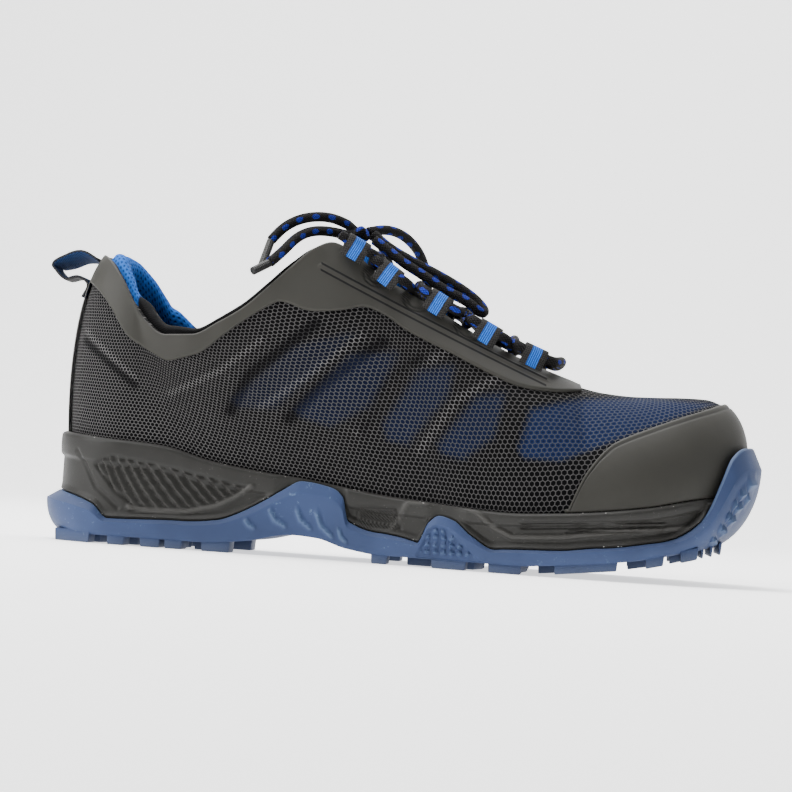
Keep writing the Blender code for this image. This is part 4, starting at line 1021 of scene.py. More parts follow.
def webbing_paint():
    """Woven loop tape, a ribbed blue stripe between two black edges."""
    paint = Paint("blue and black webbing")
    u, v = paint.spread()
    edge_share = abs(u).share(2.05, 2.35)
    ribs = (u * 7.4).sine().share(-0.9, 0.4)
    picks = ((u * 6.0).sine() * (v * 6.8).sine()).share(-0.8, 0.8)
    tint = colours().webbing
    blue = paint.mix(ribs, toned(tint, 0.3), paint.mix(picks, toned(tint, 0.75), tint))
    black = paint.mix(picks, (0.008, 0.008, 0.009), (0.045, 0.043, 0.040))
    normal = paint.bump(ribs * (1 - edge_share) + picks * edge_share * 0.7, 0.0004)
    colour = paint.mix(edge_share, blue, black)
    return paint.finish(colour, 0.68 + picks * 0.2, normal, specular_ior_level=0.12)


def braid_paint():
    """Round lace braid, black with blue flecks."""
    paint = Paint("black lace braid with blue flecks")
    u, v = paint.spread()
    strands = abs(((u + v) * (pi / 1.1)).sine()) * abs(((u - v) * (pi / 1.1)).sine())
    apart_along, apart_round = 7.2, 4.4
    around = v / apart_round
    step = u / apart_along + around.whole() * 0.37
    long, wide = (step.rest() - 0.5) * apart_along, (around.rest() - 0.5) * apart_round
    span = (long * long / 3.4 + wide * wide / 1.5) + paint.noise(1100, 1) * 0.9 - 0.4
    fleck = 1 - span.share(0.7, 1.0)
    tint = colours().fleck
    black = paint.mix(strands.share(0.0, 0.7), (0.0015, 0.0015, 0.002), (0.017, 0.016, 0.016))
    blue = paint.mix(strands.share(0.0, 0.6), toned(tint, 0.3), tint)
    normal = paint.bump(strands, 0.0006)
    colour = paint.mix(fleck, black, blue)
    return paint.finish(colour, 0.64 + strands * 0.15, normal, specular_ior_level=0.1)


def aglet_paint(name, tint):
    paint = Paint(name)
    u, v = paint.spread()
    knurl = (((u + v) * 3.6).sine() * ((u - v) * 3.6).sine()).share(-0.6, 0.6)
    haze = paint.noise(500, 3)
    colour = paint.mix(knurl * 0.5 + haze * 0.4, toned(tint, 0.5), toned(tint, 1.3))
    return paint.finish(colour, 0.32 + haze * 0.2, paint.bump(knurl, 0.0002), specular_ior_level=0.3)


def tape_paint():
    """Plain black tape of the pull loop, navy on its inner face."""
    paint = Paint("black pull loop tape")
    u, v = paint.spread()
    picks = ((u * 4.4).sine() * (v * 4.4).sine()).share(-0.7, 0.7)
    inner = paint.mark("inner")
    black = paint.mix(picks, (0.007, 0.007, 0.008), (0.04, 0.04, 0.042))
    navy = paint.mix(picks, (0.004, 0.010, 0.03), (0.014, 0.045, 0.14))
    colour = paint.mix(inner, black, navy)
    return paint.finish(colour, 0.7 + picks * 0.15, paint.bump(picks, 0.0003), specular_ior_level=0.1)


def room_paint():
    paint = Paint("pale studio card")
    broad = paint.noise(3, 2)
    fine = paint.noise(900, 2)
    colour = paint.mix(broad, (0.86, 0.86, 0.86), (0.88, 0.88, 0.88))
    shade = paint.bump(fine, 0.00002)
    return paint.finish(colour, 0.85 + fine * 0.1, shade, emission_color=(1, 1, 1), emission_strength=1.1)


def cup_levels(r):
    """Inset of the lower edge, its height, and the height where the cup is widest."""
    under = side(r, "under")
    low = floor(share_at(inside(r, under, 0)[..., 0]))
    return under, low, low + (rim(r) - low) * 0.8


def cup_hollow(r, height):
    """Inset of the cup's inner face at a height, straight between four places on the way up."""
    under, low, widest = cup_levels(r)
    low = low + FLOOR_WALL
    swings = [radians(turn) for turn in (0, 52, 88)]
    heights = [low + (widest - low) * (1 - cos(swing)) for swing in swings] + [rim(r)]
    insets = [CUP_WALL + under * (1 - sin(swing)) for swing in swings] + [side(r, "lip") + CUP_LIP]
    inset = insets[0]
    for k in range(3):
        share = np.clip((height - heights[k]) / (heights[k + 1] - heights[k]), 0, 1)
        inset = np.where(height > heights[k], insets[k] + (insets[k + 1] - insets[k]) * share, inset)
    return inset


def cup_relief(x, z):
    """Relief moulded on the cup's outer face: dotted ball fin, ribbed arch fin and toe bumper."""
    fin = within(x, z, BALL_PATCH)
    relief = -0.7 * smoothed(fin, 0, 0.7)
    first, apart_up, apart_along = 3.5, 2.9, 3.3
    row = np.round((z - first) / apart_up)
    over = (x - 0.55 * z - 1.6 * (row % 2)) / apart_along
    dot = np.hypot((over - np.round(over)) * apart_along, z - first - row * apart_up)
    relief += 1.5 * (1 - smoothed(dot, 0.5, 1.15)) * smoothed(fin, 0.5, 1.3)
    for line in ARCH_RIBS:
        relief += 1.0 * (1 - smoothed(line_distance(x, z, line), 0.35, 1.3))
    for line in BUMPER_RIBS:
        relief += 1.9 * (1 - smoothed(line_distance(x, z, line), 0.6, 1.5))
    return relief


def even_stations(count):
    """Stations once round from the toe, the last one back on the first."""
    return np.linspace(-1, 1, count + 1)


def half_way(points):
    """Middle between each station's point and the one across the shoe."""
    return (points + points[::-1]) / 2


def make_outsole_shell():
    r = even_stations(OUTSOLE_STATIONS)
    bare = np.zeros_like(r)
    under, low, widest = cup_levels(r)
    lower_edge = inside(r, under, low)
    centre = half_way(lower_edge)
    rows, highlight_rows = [], []
    for share in (1, 0.75, 0.5, 0.25, 0.06):
        point = lower_edge + (centre - lower_edge) * share
        point[:, 2] = floor(share_at(point[:, 0]))
        rows.append(point)
        highlight_rows.append(bare)
    lip, brim = side(r, "lip"), rim(r)
    face = []
    for swing in np.linspace(0, pi / 2, 18):
        face.append((under * (1 - sin(swing)), low + (widest - low) * (1 - cos(swing))))
    for share in np.linspace(0, 1, 15)[1:-1]:
        face.append((lip * share, widest + (brim - widest) * share))
    x = edge(r)[:, 0] / MM
    for inset, height in face:
        fade = smoothed(brim - height, 0.3 * MM, 1.3 * MM)
        relief = cup_relief(x, height / MM) * fade
        rows.append(inside(r, inset - relief * MM, height))
        # Painted highlight on the moulded ribs and dots, as far as they stand out
        highlight_rows.append(np.clip(relief, 0, 1))
    for deep, drop in ((0.02, 0.45), (0.25, 0.1), (0.65, 0.0), (1.2, 0.05)):
        rows.append(inside(r, lip + deep * MM, brim - drop * MM))
        # Painted highlight along the cup's lip
        highlight_rows.append(bare + (0.9 if deep < 1 else 0.4))
    for share in (0.75, 0.5, 0.25, 0.0):
        height = low + FLOOR_WALL + (brim - low - FLOOR_WALL) * share
        rows.append(inside(r, cup_hollow(r, height), height))
        highlight_rows.append(bare)
    inner = rows[-1]
    middle = half_way(inner)
    middle[:, 2] = floor(share_at(middle[:, 0])) + FLOOR_WALL
    rows.append(middle)
    highlight_rows.append(bare)
    points = np.stack(rows, 1)
    marks = {"raised": np.stack(highlight_rows, 1)}
    return laid_grid("outsole_finish", points, grid_measure(points), shell=True, marks=marks)


def tread_block(start, end, near, far, slant):
    """One tread block, a cube primitive drawn to its place and bevelled."""
    clear_choice()
    bpy.ops.mesh.primitive_cube_add(size=2)
    obj = bpy.context.object
    for vert in obj.data.vertices:
        share = end if vert.co.x > 0 else start
        across = far if vert.co.y > 0 else near
        share += slant * (1 - abs(across))
        half = read(OUTLINE, "half", share) * BALL_WIDTH * roundness(share)
        middle = read(OUTLINE, "centre", share) * BALL_WIDTH
        height = floor(share) + FLOOR_WALL / 2 if vert.co.z > 0 else tread(share)
        taper = BLOCK_TAPER if vert.co.z < 0 else 0
        inward = 1 if share < (start + end) / 2 else -1
        vert.co = (x_at(share) + taper * inward, middle + across * half, height)
    edit_all((bpy.ops.mesh.normals_make_consistent, {"inside": False}))
    worked(obj, "BEVEL", width=BLOCK_EDGE, segments=2, limit_method="ANGLE", angle_limit=radians(40))
    return obj


def make_tread_blocks():
    blocks = []
    for hand in (-1, 1):
        for line, band, slant in ((EDGE_BLOCKS, EDGE_BAND, 0), (MIDDLE_BLOCKS, MIDDLE_BAND, CHEVRON)):
            near, far = (hand * share for share in band)
            blocks += [tread_block(row.start, row.end, near, far, slant) for row in line]
    for start in TOE_BARS:
        blocks.append(tread_block(start, start + TOE_BAR, -TOE_BAR_REACH, TOE_BAR_REACH, 0))
    return blocks


def midsole_relief(x, z, below):
    """Relief on the midsole's side, out from its waist, the painted highlight on its ridges, and where it is a
    badge panel.
    """
    band = np.interp(x, [-146, -110, -55, -20, 30, 60, 150], [9, 9.5, 8, 7, 5, 4, 4])
    relief = 1.3 * (1 - smoothed(below, band, band + 1.5))
    relief += 0.25 * np.sin(np.clip(below / band, 0, 1) * pi)
    relief -= 1.7 * (1 - np.sqrt(1 - np.clip(1 - below / 1.9, 0, 1) ** 2))
    leaf = within(x, z, LEAF)
    lean = np.interp(x, [-124, -100, -60], [0.62, 0.95, 1.3])
    saw = (x + z * lean) / 5.6 % 1
    rib = np.where(saw < 0.22, smoothed(saw, 0, 0.22), 1 - (saw - 0.22) / 0.78)
    sunk = smoothed(leaf, 0.2, 1.2)
    relief += sunk * (-0.9 + 1.25 * rib * smoothed(leaf, 0.6, 2.2))
    lip = 1 - smoothed(line_distance(x, z, LEAF_LIP), 0.5, 1.5)
    crease = 1 - smoothed(line_distance(x, z, HEEL_CREASE), 0.4, 1.5)
    relief += 0.9 * lip - 0.7 * crease
    panel = within(x, z, BADGE)
    relief -= 0.6 * (1 - smoothed(np.abs(panel), 0.3, 0.8))
    bars = 1 - smoothed(line_distance(x, z, BADGE_BAR), 0.5, 1.3)
    rail = 1 - smoothed(line_distance(x, z, RAIL), 0.5, 1.5)
    relief += 0.7 * bars + 0.8 * rail
    for line in SIDE_LINES:
        relief -= 0.6 * (1 - smoothed(line_distance(x, z, line), 0.25, 0.75))
    # Painted highlight on the lip, the bars, the rail and the crests of the leaf's ribs
    raised = np.clip(lip + bars * 0.8 + rail * 0.8 + sunk * smoothed(rib, 0.75, 1) * 0.7, 0, 1)
    return relief, raised, smoothed(panel, 0.8, 1.5)


def make_midsole_band():
    """The black midsole from inside the blue cup, up its moulded side, and over to the upper."""
    r = even_stations(MIDSOLE_STATIONS)
    brim, top, lip = rim(r), bite(r), side(r, "lip")
    start = np.minimum(brim + GAP, top - SOCK_DEPTH)
    shown = np.clip((top - SOCK_DEPTH - brim) / (5 * MM), 0, 1)
    x = edge(r)[:, 0] / MM
    play = 0.5 * MM
    rows, marks = [], {"raised": [], "badge": [], "glue": []}

    def add(point, **shares):
        rows.append(point)
        for name, values in marks.items():
            values.append(np.broadcast_to(shares.get(name, 0.0), r.shape))

    def hidden(height):
        return cup_hollow(r, np.minimum(height, brim)) + play

    buried = start - 2 * MM
    add(inside(r, hidden(buried) + 6 * MM, buried))
    add(inside(r, hidden(buried), buried))
    add(inside(r, hidden(start), start))
    for share in np.linspace(0, 1, MIDSOLE_ROWS):
        height = start + (top - start) * share
        above = (height - start) / MM
        relief, raised, badge = midsole_relief(x, height / MM, (top - height) / MM)
        inset = side(r, "edge") + WAIST - relief * MM
        foot = 1 - smoothed(above, 0.5, 3.0)
        inset = inset + (lip + 0.25 * MM - inset) * foot
        inset = inset + 0.6 * MM * (1 - smoothed(above, 0, 0.6))
        sunk = np.where(height < brim + GAP, np.maximum(inset, hidden(height)), inset)
        inset = np.where(shown < 1, sunk + (np.maximum(hidden(height), sunk) - sunk) * (1 - shown), inset)
        glue = 1 - np.minimum(smoothed(above, 0.3, 1.2), smoothed((top - height) / MM, 0.2, 1.0))
        add(inside(r, inset, height), raised=raised * (1 - foot), badge=badge, glue=glue * shown)
    foot_line, next_row = wall(r, 0.0, GAP), wall(r, 0.15, GAP)
    share = ((top - foot_line[:, 2]) / (next_row[:, 2] - foot_line[:, 2]))[:, None]
    inner = foot_line + (next_row - foot_line) * share
    inner[:, 2] -= 0.5 * MM
    add(inner, glue=0.6)
    add(inside(r, side(r, "foot") - GAP, top - SOCK_DEPTH))
    add(inside(r, hidden(buried) + 6 * MM, buried))
    points = np.stack(rows, 1)
    marks = {name: np.stack(values, 1) for name, values in marks.items()}
    return laid_grid("midsole_finish", points, grid_measure(points), shell=True, marks=marks)


def make_insole_board():
    r = even_stations(INSOLE_STATIONS)
    inset = side(r, "foot") + UPPER_WALL + 2 * GAP
    low = bite(r) - SOCK_DEPTH + GAP
    base, brim = inside(r, inset, low), inside(r, inset, low + INSOLE_WALL)
    dished = inside(r, inset + INSOLE_WALL, low + INSOLE_WALL * 0.8)
    middle = half_way(dished)
    rows = [half_way(base), base, brim - (0, 0, 0.8 * MM), brim - (0, 0, 0.1 * MM)]
    rows += [brim + (dished - brim) * share for share in (0.3, 0.65, 1)]
    rows += [dished + (middle - dished) * share for share in (0.12, 0.3, 0.55, 0.8, 1)]
    points = np.stack(rows, 1)
    return laid_grid("insole_finish", points, points[..., :2] / MM, shell=True)


def window_marks(x, z):
    """How blue each place shows through the mesh, its crease shading (positive for painted shade in a dip,
    negative for a painted highlight on a ridge), and how far it sits in or out.
    """
    blue, crease_shading = np.zeros_like(x), np.zeros_like(x)
    for outline, depth in WINDOWS:
        blue = np.maximum(blue, depth * smoothed(within(x, z, outline), -1.2, 2.4))
    relief = -0.45 * np.minimum(blue * 1.6, 1)
    for line, wide, high in CREASES:
        here = np.exp(-((line_distance(x, z, line) / wide) ** 2))
        relief = relief + high * here
        crease_shading = crease_shading - np.sign(high) * here
    return blue, crease_shading, relief


def make_upper_shell():
    middle_row = 22
    r, up = np.meshgrid(even_stations(UPPER_STATIONS), np.linspace(0, 1, UPPER_ROWS), indexing="ij")
    base = wall(r, up)
    x, z = base[..., 0] / MM, base[..., 2] / MM
    blue, crease_shading, relief = window_marks(x, z)
    fade = smoothed(up, 0.06, 0.2) * (1 - smoothed(up, 0.92, 1.0))
    points = wall(r, up, relief * fade * MM)
    round_way = run_of(base, 0)[:, middle_row]
    pitch = np.interp(x[:, middle_row], [-140, -60, 20, 90, 150], [1.45, 1.65, 2.1, 2.5, 2.5])
    cells = np.concatenate(([0], np.cumsum(np.diff(round_way) / (pitch[1:] + pitch[:-1]) * 2)))
    measure = np.stack(np.broadcast_arrays(cells[:, None], run_of(base, 1) / pitch[:, None]), -1)
    obj = laid_grid("upper_finish", points, measure, marks={"window": blue, "crease_shading": crease_shading})
    settings = {"use_even_offset": True, "material_offset": 1, "use_rim": True}
    worked(obj, "SOLIDIFY", thickness=UPPER_WALL, offset=-1, **settings)
    return obj


def laid_film(name, rounds, low, high, rows, lift=None):
    """A film between two shares of the way up the wall, its edges rounded, with the relief that lift gives."""
    span = np.linalg.norm(wall(rounds, high) - wall(rounds, low), axis=-1) / MM
    small = np.minimum(1, span / 2.4)
    edges = np.array([0, 0, 0.12, 0.4, 0.85])
    full = (FILM_GAP + FILM_WALL) / MM
    rises = np.array([0.05, 0.6, 1.0, 1.25, full])
    middle = np.linspace(0, 1, rows)[1:-1]
    lead = edges[None] * small[:, None]
    inner = lead[:, -1:] + (span[:, None] - 2 * lead[:, -1:]) * middle[None]
    away = np.concatenate([lead, inner, span[:, None] - lead[:, ::-1]], 1)
    rise = np.concatenate([rises, np.full(rows - 2, full), rises[::-1]])[None] * small[:, None]
    up = low[:, None] + (high - low)[:, None] * away / span[:, None]
    groove = np.zeros_like(up)
    if lift is not None:
        relief, groove = lift(rounds[:, None], up, span[:, None] - away)
        rise = rise + relief * np.minimum(rise / 1.2, 1)
    back = low[:, None] + (high - low)[:, None] * np.linspace(1, 0, 9)[None]
    up = np.concatenate([up, back], 1)
    rise = np.concatenate([rise, np.full_like(back, rises[0])], 1)
    marks = {"groove": np.concatenate([groove, np.zeros_like(back)], 1)}
    points = wall(rounds[:, None], up, rise * MM)
    return laid_grid(name, points, grid_measure(points), shell=True, marks=marks)


def eyestay_lift(r, up, from_high):
    """The ridge between the eyestay's two cuts, and the rings pressed round its eyelets, darkened with painted
    shade.
    """
    base = wall(r, up) / MM
    inner_side = wall(np.abs(r), up)
    deep = np.zeros_like(up)
    relief = 0.3 * (1 - smoothed(line_distance(base[..., 0], base[..., 2], RIDGE), 0.4, 1.2))
    for way, level in EYELETS:
        away = np.linalg.norm(inner_side - wall(way, level), axis=-1) / MM
        for size in EYELET_RINGS:
            ring = 1 - smoothed(np.abs(away - size), 0.25, 0.6)
            relief -= 0.35 * ring
            # Painted shade in the pressed rings
            deep = np.maximum(deep, 0.7 * ring)
    return relief, deep


def cap_lift(r, up, from_high):
    """A pressed line just inside the toe cap's upper edge, darkened with painted shade."""
    line = 1 - smoothed(np.abs(from_high - 2.4), 0.2, 0.6)
    return -0.3 * line, line * 0.5


def make_toe_cap_film():
    ways = np.linspace(TOE_CAP[0].around, 1, CAP_STATIONS)
    rounds = np.concatenate([ways, 2 - ways[-2::-1]])
    start = bite(rounds) + GAP / 2
    ups = np.linspace(0, 1, 60)
    heights = bare_wall(rounds[:, None], ups[None])[..., 2]
    low = np.array([np.interp(level, row, ups) for level, row in zip(start, heights)])
    high = np.maximum(low + 0.02, read(TOE_CAP, "up", np.abs(wrapped(rounds))))
    return laid_film("toe_cap_finish", rounds, low, high, CAP_ROWS, cap_lift)


def make_collar_films():
    last = FILM[-1].around
    rounds = np.linspace(-last, last, FILM_STATIONS)
    low = read(FILM, "up", np.abs(rounds))
    film = laid_film("collar_film_finish", rounds, low, np.ones_like(rounds), FILM_ROWS, eyestay_lift)
    strip = np.linspace(-0.05, 0.05, STRIP_STATIONS)
    top = read(FILM, "up", np.abs(strip)) + 0.01
    heel = laid_film("heel_strip", strip, np.full_like(strip, 0.02), top, STRIP_ROWS)
    return joined([film, heel])


def rounded_sections(points, per):
    """Closed sections through the same number of points, each smoothed round its ring."""
    count = points.shape[1]
    rows = []
    for k in range(count):
        before, a, b, after = (points[:, (k + step) % count] for step in (-1, 0, 1, 2))
        rows += [between(before, a, b, after, t) for t in np.arange(per) / per]
    rows.append(rows[0])
    return np.stack(rows, 1)


def capped(sections, reach):
    """Rounds a soft bar over at both ends by drawing its last sections in."""
    middles = sections.mean(1, keepdims=True)
    start = (middles[0] - middles[1]) / np.linalg.norm(middles[0] - middles[1])
    end = (middles[-1] - middles[-2]) / np.linalg.norm(middles[-1] - middles[-2])
    lead, tail = [], []
    for size, far in ((0.0, 1.0), (0.5, 0.85), (0.85, 0.45)):
        lead.append(middles[0] + (sections[0] - middles[0]) * size + start * reach * far)
        tail.insert(0, middles[-1] + (sections[-1] - middles[-1]) * size + end * reach * far)
    return np.concatenate([np.stack(lead), sections, np.stack(tail)])


def make_collar_roll():
    near = -(UPPER_WALL + GAP)
    last = THROAT_TOP - 0.012
    rounds = np.linspace(-last, last, ROLL_STATIONS)
    way = np.abs(rounds)
    edge_step = bare_wall(rounds, 1.0) - bare_wall(rounds, 0.96)
    rise = COLLAR_ROLL / np.linalg.norm(edge_step, axis=-1) * 0.04
    deep = COLLAR_PAD * (1 - 0.55 * np.maximum(0, way - 0.3) / (THROAT_TOP - 0.3))
    rise = rise * (1 - 0.6 * smoothed(way, 0.24, 0.40)) * (1 - smoothed(way, THROAT_TOP - 0.05, last))
    places = (
        (0.62, near),
        (0.86, near),
        (1.0, near),
        (1 + rise * 0.7, near - deep * 0.05),
        (1 + rise, near - deep * 0.4),
        (1 + rise * 0.6, near - deep * 0.85),
        (0.95, near - deep),
        (0.8, near - deep * 0.75),
        (0.62, near - deep * 0.25),
    )
    sections = np.stack([wall(rounds, up, out) for up, out in places], 1)
    points = capped(rounded_sections(sections, 4), 0.4 * MM)
    start = np.concatenate([[rounds[0]] * 3, rounds, [rounds[-1]] * 3])
    limit = np.where(start < 0, 0.205, 0.275)
    knit = smoothed(np.abs(start), limit - 0.004, limit + 0.004)[:, None]
    measure = np.stack(np.broadcast_arrays(run_of(points, 0)[:, 18:19], run_of(points, 1)), -1)
    return laid_grid("collar_padding_finish", points, measure, shell=True, marks={"knit": knit})


def tongue_sections(ways):
    """Cuts across the tongue, under both eyestays and over the gap between them."""
    near = -(UPPER_WALL + 2 * GAP)
    middle_y = (top_edge(-ways)[:, 1] + top_edge(ways)[:, 1]) / 2
    sides = []
    for hand in (-1, 1):
        for out in (near, near - TONGUE_PAD):
            rows = []
            for up in (0.84, 0.93, 1.0):
                point = wall(hand * ways, up, out)
                point[:, 1] = middle_y + hand * np.maximum(1 * MM, (point[:, 1] - middle_y) * hand)
                rows.append(point)
            sides.append(rows)
    outer, outer_low, inner, inner_low = sides
    crown = np.where(ways < THROAT_FRONT - 0.01, 0.2 * MM, -GAP)
    crown = crown + 2.6 * MM * (1 - smoothed(ways, THROAT_TOP, THROAT_TOP + 0.03))
    over = (outer[-1] + inner[-1]) / 2
    over[:, 2] += crown
    below = (outer_low[-1] + inner_low[-1]) / 2
    return np.stack(outer + [over] + inner[::-1] + inner_low + [below] + outer_low[::-1], 1)


def make_tongue_pad():
    ways = np.linspace(THROAT_TOP, 0.80, TONGUE_STATIONS)
    top, lower = ((top_edge(-way) + top_edge(way)) / 2 for way in (THROAT_TOP, THROAT_TOP + 0.04))
    rise = (top - lower) / np.linalg.norm(top - lower) * TONGUE_REACH
    first = tongue_sections(ways[:1])
    lead = []
    for share in (1, 0.8, 0.6, 0.4, 0.2):
        section = first + rise * share - (0, 0, 1 * MM * max(0, share - 0.6) / 0.4)
        middle = section.mean(1, keepdims=True)
        lead.append(middle + (section - middle) * (1 - (0.92 * share) ** 2) ** 0.5)
    sections = np.concatenate(lead + [tongue_sections(ways)])
    ring = np.concatenate([sections[:, -1:], sections, sections[:, :1]], 1)
    round_off = (ring[:, :-2] + 2 * sections + ring[:, 2:]) / 4
    share = smoothed(np.arange(len(sections)), 10, 0)[:, None, None]
    sections = sections + (round_off - sections) * share
    for _ in range(8):
        sections[1:-1] = (sections[:-2] + 2 * sections[1:-1] + sections[2:]) / 4
    points = capped(rounded_sections(sections, 3), 1.2 * MM)
    return laid_grid("tongue_finish", points, grid_measure(points), shell=True)


def ribbon(name, path, outs, width, thick, inner):
    """A flat tape along a route, its edges rounded; outs point away from the side it lies on."""
    path, outs = np.array([tuple(p) for p in path]), np.array([tuple(o) for o in outs])
    ways = np.gradient(path, axis=0)
    ways /= np.linalg.norm(ways, axis=1, keepdims=True)
    outs = outs - ways * (outs * ways).sum(1, keepdims=True)
    outs /= np.linalg.norm(outs, axis=1, keepdims=True)
    sides = np.cross(ways, outs)
    half = width / 2
    shape = list(TAPE_EDGE) + [(-across, 1 - deep) for across, deep in TAPE_EDGE] + [TAPE_EDGE[0]]
    rows = [path + sides * half * across + outs * thick * deep for across, deep in shape]
    points = np.stack(rows, 1)
    run = run_of(points, 0).mean(1)
    across = np.array([k * half / MM for k, _ in shape])
    measure = np.stack(np.broadcast_arrays(across[None], run[:, None]), -1)
    face = np.array([deep > 0.8 for _, deep in shape], float)[None] * inner
    return laid_grid(name, points, measure, shell=True, marks={"inner": face})


def capped_ribbon(name, path, outs, width, thick, inner=0.0):
    """The same with both ends closed by a face."""
    path = [Vector(point) for point in path]
    start, end = (path[0] - path[1]).normalized(), (path[-1] - path[-2]).normalized()
    seam = 0.02 * MM
    path = [path[0] + start * seam] + path + [path[-1] + end * seam]
    obj = ribbon(name, path, [outs[0]] + list(outs) + [outs[-1]], width, thick, inner)
    choose(obj)
    bpy.ops.object.mode_set(mode="EDIT")
    bpy.ops.mesh.select_all(action="DESELECT")
    bpy.ops.mesh.select_mode(type="EDGE")
    bpy.ops.mesh.select_non_manifold()
    bpy.ops.mesh.fill_holes(sides=0)
    bpy.ops.mesh.select_all(action="SELECT")
    bpy.ops.mesh.normals_make_consistent(inside=False)
    bpy.ops.object.mode_set(mode="OBJECT")
    return obj


def make_webbing_loop(index, hand):
    """A tape loop round the lace, with its tail sewn down to the eyestay."""
    centre, forward, up = loop_frame(index, hand)
    out = forward.cross(up) * -hand
    hole = LACE / 2 + LOOP_CLEARANCE / 2
    tall, wide = hole + LOOP_WALL, hole * LOOP_SQUEEZE
    path, outs = [], []
    for reach, drop, face in (
        (1.4 * MM, tall + LOOP_STAND + 0.55 * MM, up),
        (0.8 * MM, tall + LOOP_STAND - 0.7 * MM, up + out * 0.6),
        (0.3 * MM, tall * 0.55, up * 0.3 + out),
    ):
        path.append(centre + out * (wide + reach) - up * drop)
        outs.append(face.normalized())
    for k in range(LOOP_STEPS + 1):
        turn = -0.12 * pi + 1.95 * pi * k / LOOP_STEPS
        path.append(centre + out * cos(turn) * wide + up * sin(turn) * hole)
        outs.append((out * cos(turn) / LOOP_SQUEEZE + up * sin(turn)).normalized())
    return capped_ribbon("loop", path, outs, LOOP_WIDTH * LOOP_NARROWED, LOOP_WALL * LOOP_THINNED)


def make_pull_loop():
    off = FILM_GAP + FILM_WALL + 2 * GAP
    top, low, end = (Vector(wall(0.0, up, off)) for up in TAB_UPS)
    back = x_at(0) - TAB_REACH
    middle = (top.z + low.z) / 2
    route = [top]
    for x, z in (
        (top.x - 7 * MM, top.z + 1.2 * MM),
        (back + 6 * MM, top.z - 1 * MM),
        (back, middle + 0.5 * MM),
        (back + 5 * MM, low.z - 0.5 * MM),
        (low.x - 4 * MM, low.z + 0.5 * MM),
        (low.x, low.z - 2 * MM),
        (end.x, end.z),
    ):
        route.append(Vector((x, 0, z)))
    path = smooth_route(route, 1 * MM)
    outs = []
    for i in range(len(path)):
        way = (path[min(i + 1, len(path) - 1)] - path[max(i - 1, 0)]).normalized()
        tilt = TAB_TILT * max(0, sin(2 * pi * min(0.5, i / len(path))))
        outs.append(Vector((-way.z, 0, way.x)) * cos(tilt) + Vector((0, -1, 0)) * sin(tilt))
    return capped_ribbon("pull_tab_finish", path, outs, sizes().tab_width, TAB_WALL, 1.0)


def make_knot():
    """The knot, two turns of the lace drawn tight, with the stubs that its two ends come out of."""
    turns = []
    for t in np.linspace(0, 2 * pi, 61):
        spot = Vector((sin(t) + 2 * sin(2 * t), cos(t) - 2 * cos(2 * t), -sin(3 * t)))
        turns.append(KNOT + spot * Vector(KNOT_SPREAD) * MM)
    knot = tube("lace_knot_finish", turns, LACE * 0.88, 14, closed=True)
    stubs = []
    for points in (END_HIGH, END_LOW):
        start = metres(points)[0]
        tip = start + (start - KNOT).normalized() * 0.6 * MM
        stubs.append(tube("lace_stub", [KNOT, (KNOT + tip) / 2, tip], LACE * 0.96, 14))
    return joined([knot] + stubs)


def route_length(route):
    return sum((b - a).length for a, b in zip(route, route[1:]))


def colour_setting(name, about, default):
    settings = {"name": name, "description": about, "default": default}
    return bpy.props.FloatVectorProperty(**settings, subtype="COLOR", size=3)


def size_setting(name, about, default, subtype="DISTANCE", unit="LENGTH"):
    settings = {"name": name, "description": about, "default": default}
    return bpy.props.FloatProperty(**settings, subtype=subtype, unit=unit)


class SneakerColours(bpy.types.PropertyGroup):
    """Colours of the sneaker's finishes."""

    rubber: colour_setting("Rubber", "Blue of the outsole", (0.030, 0.048, 0.112))
    foam: colour_setting("Midsole", "Black of the moulded midsole", (0.019, 0.0185, 0.017))
    mesh: colour_setting("Mesh yarn", "Dark grey of the air mesh", (0.064, 0.062, 0.062))
    window: colour_setting("Mesh window", "Blue showing through the mesh", (0.008, 0.017, 0.060))
    film: colour_setting("Film", "Grey of the toe cap and collar film", (0.034, 0.033, 0.029))
    lining: colour_setting("Lining", "Blue of the collar's spacer mesh", (0.018, 0.13, 0.52))
    webbing: colour_setting("Webbing", "Blue of the lace loops", (0.030, 0.185, 0.78))
    fleck: colour_setting("Lace fleck", "Blue yarn of the lace", (0.020, 0.045, 0.44))
    textile: colour_setting("Textile", "Black of the tongue and insole", (0.020, 0.020, 0.021))


class SneakerSizes(bpy.types.PropertyGroup):
    """Sizes that a maker of the finish would change."""

    lace: size_setting("Lace", "Thickness of the round lace", LACE)
    tab_width: size_setting("Pull loop", "Width of the heel loop's tape", TAB_WIDTH)
    floor: size_setting("Floor", "Width of the pale studio floor", 8.0)
    key: size_setting("Key light", "Power that the studio lights share out", 11.0, "POWER", "POWER")


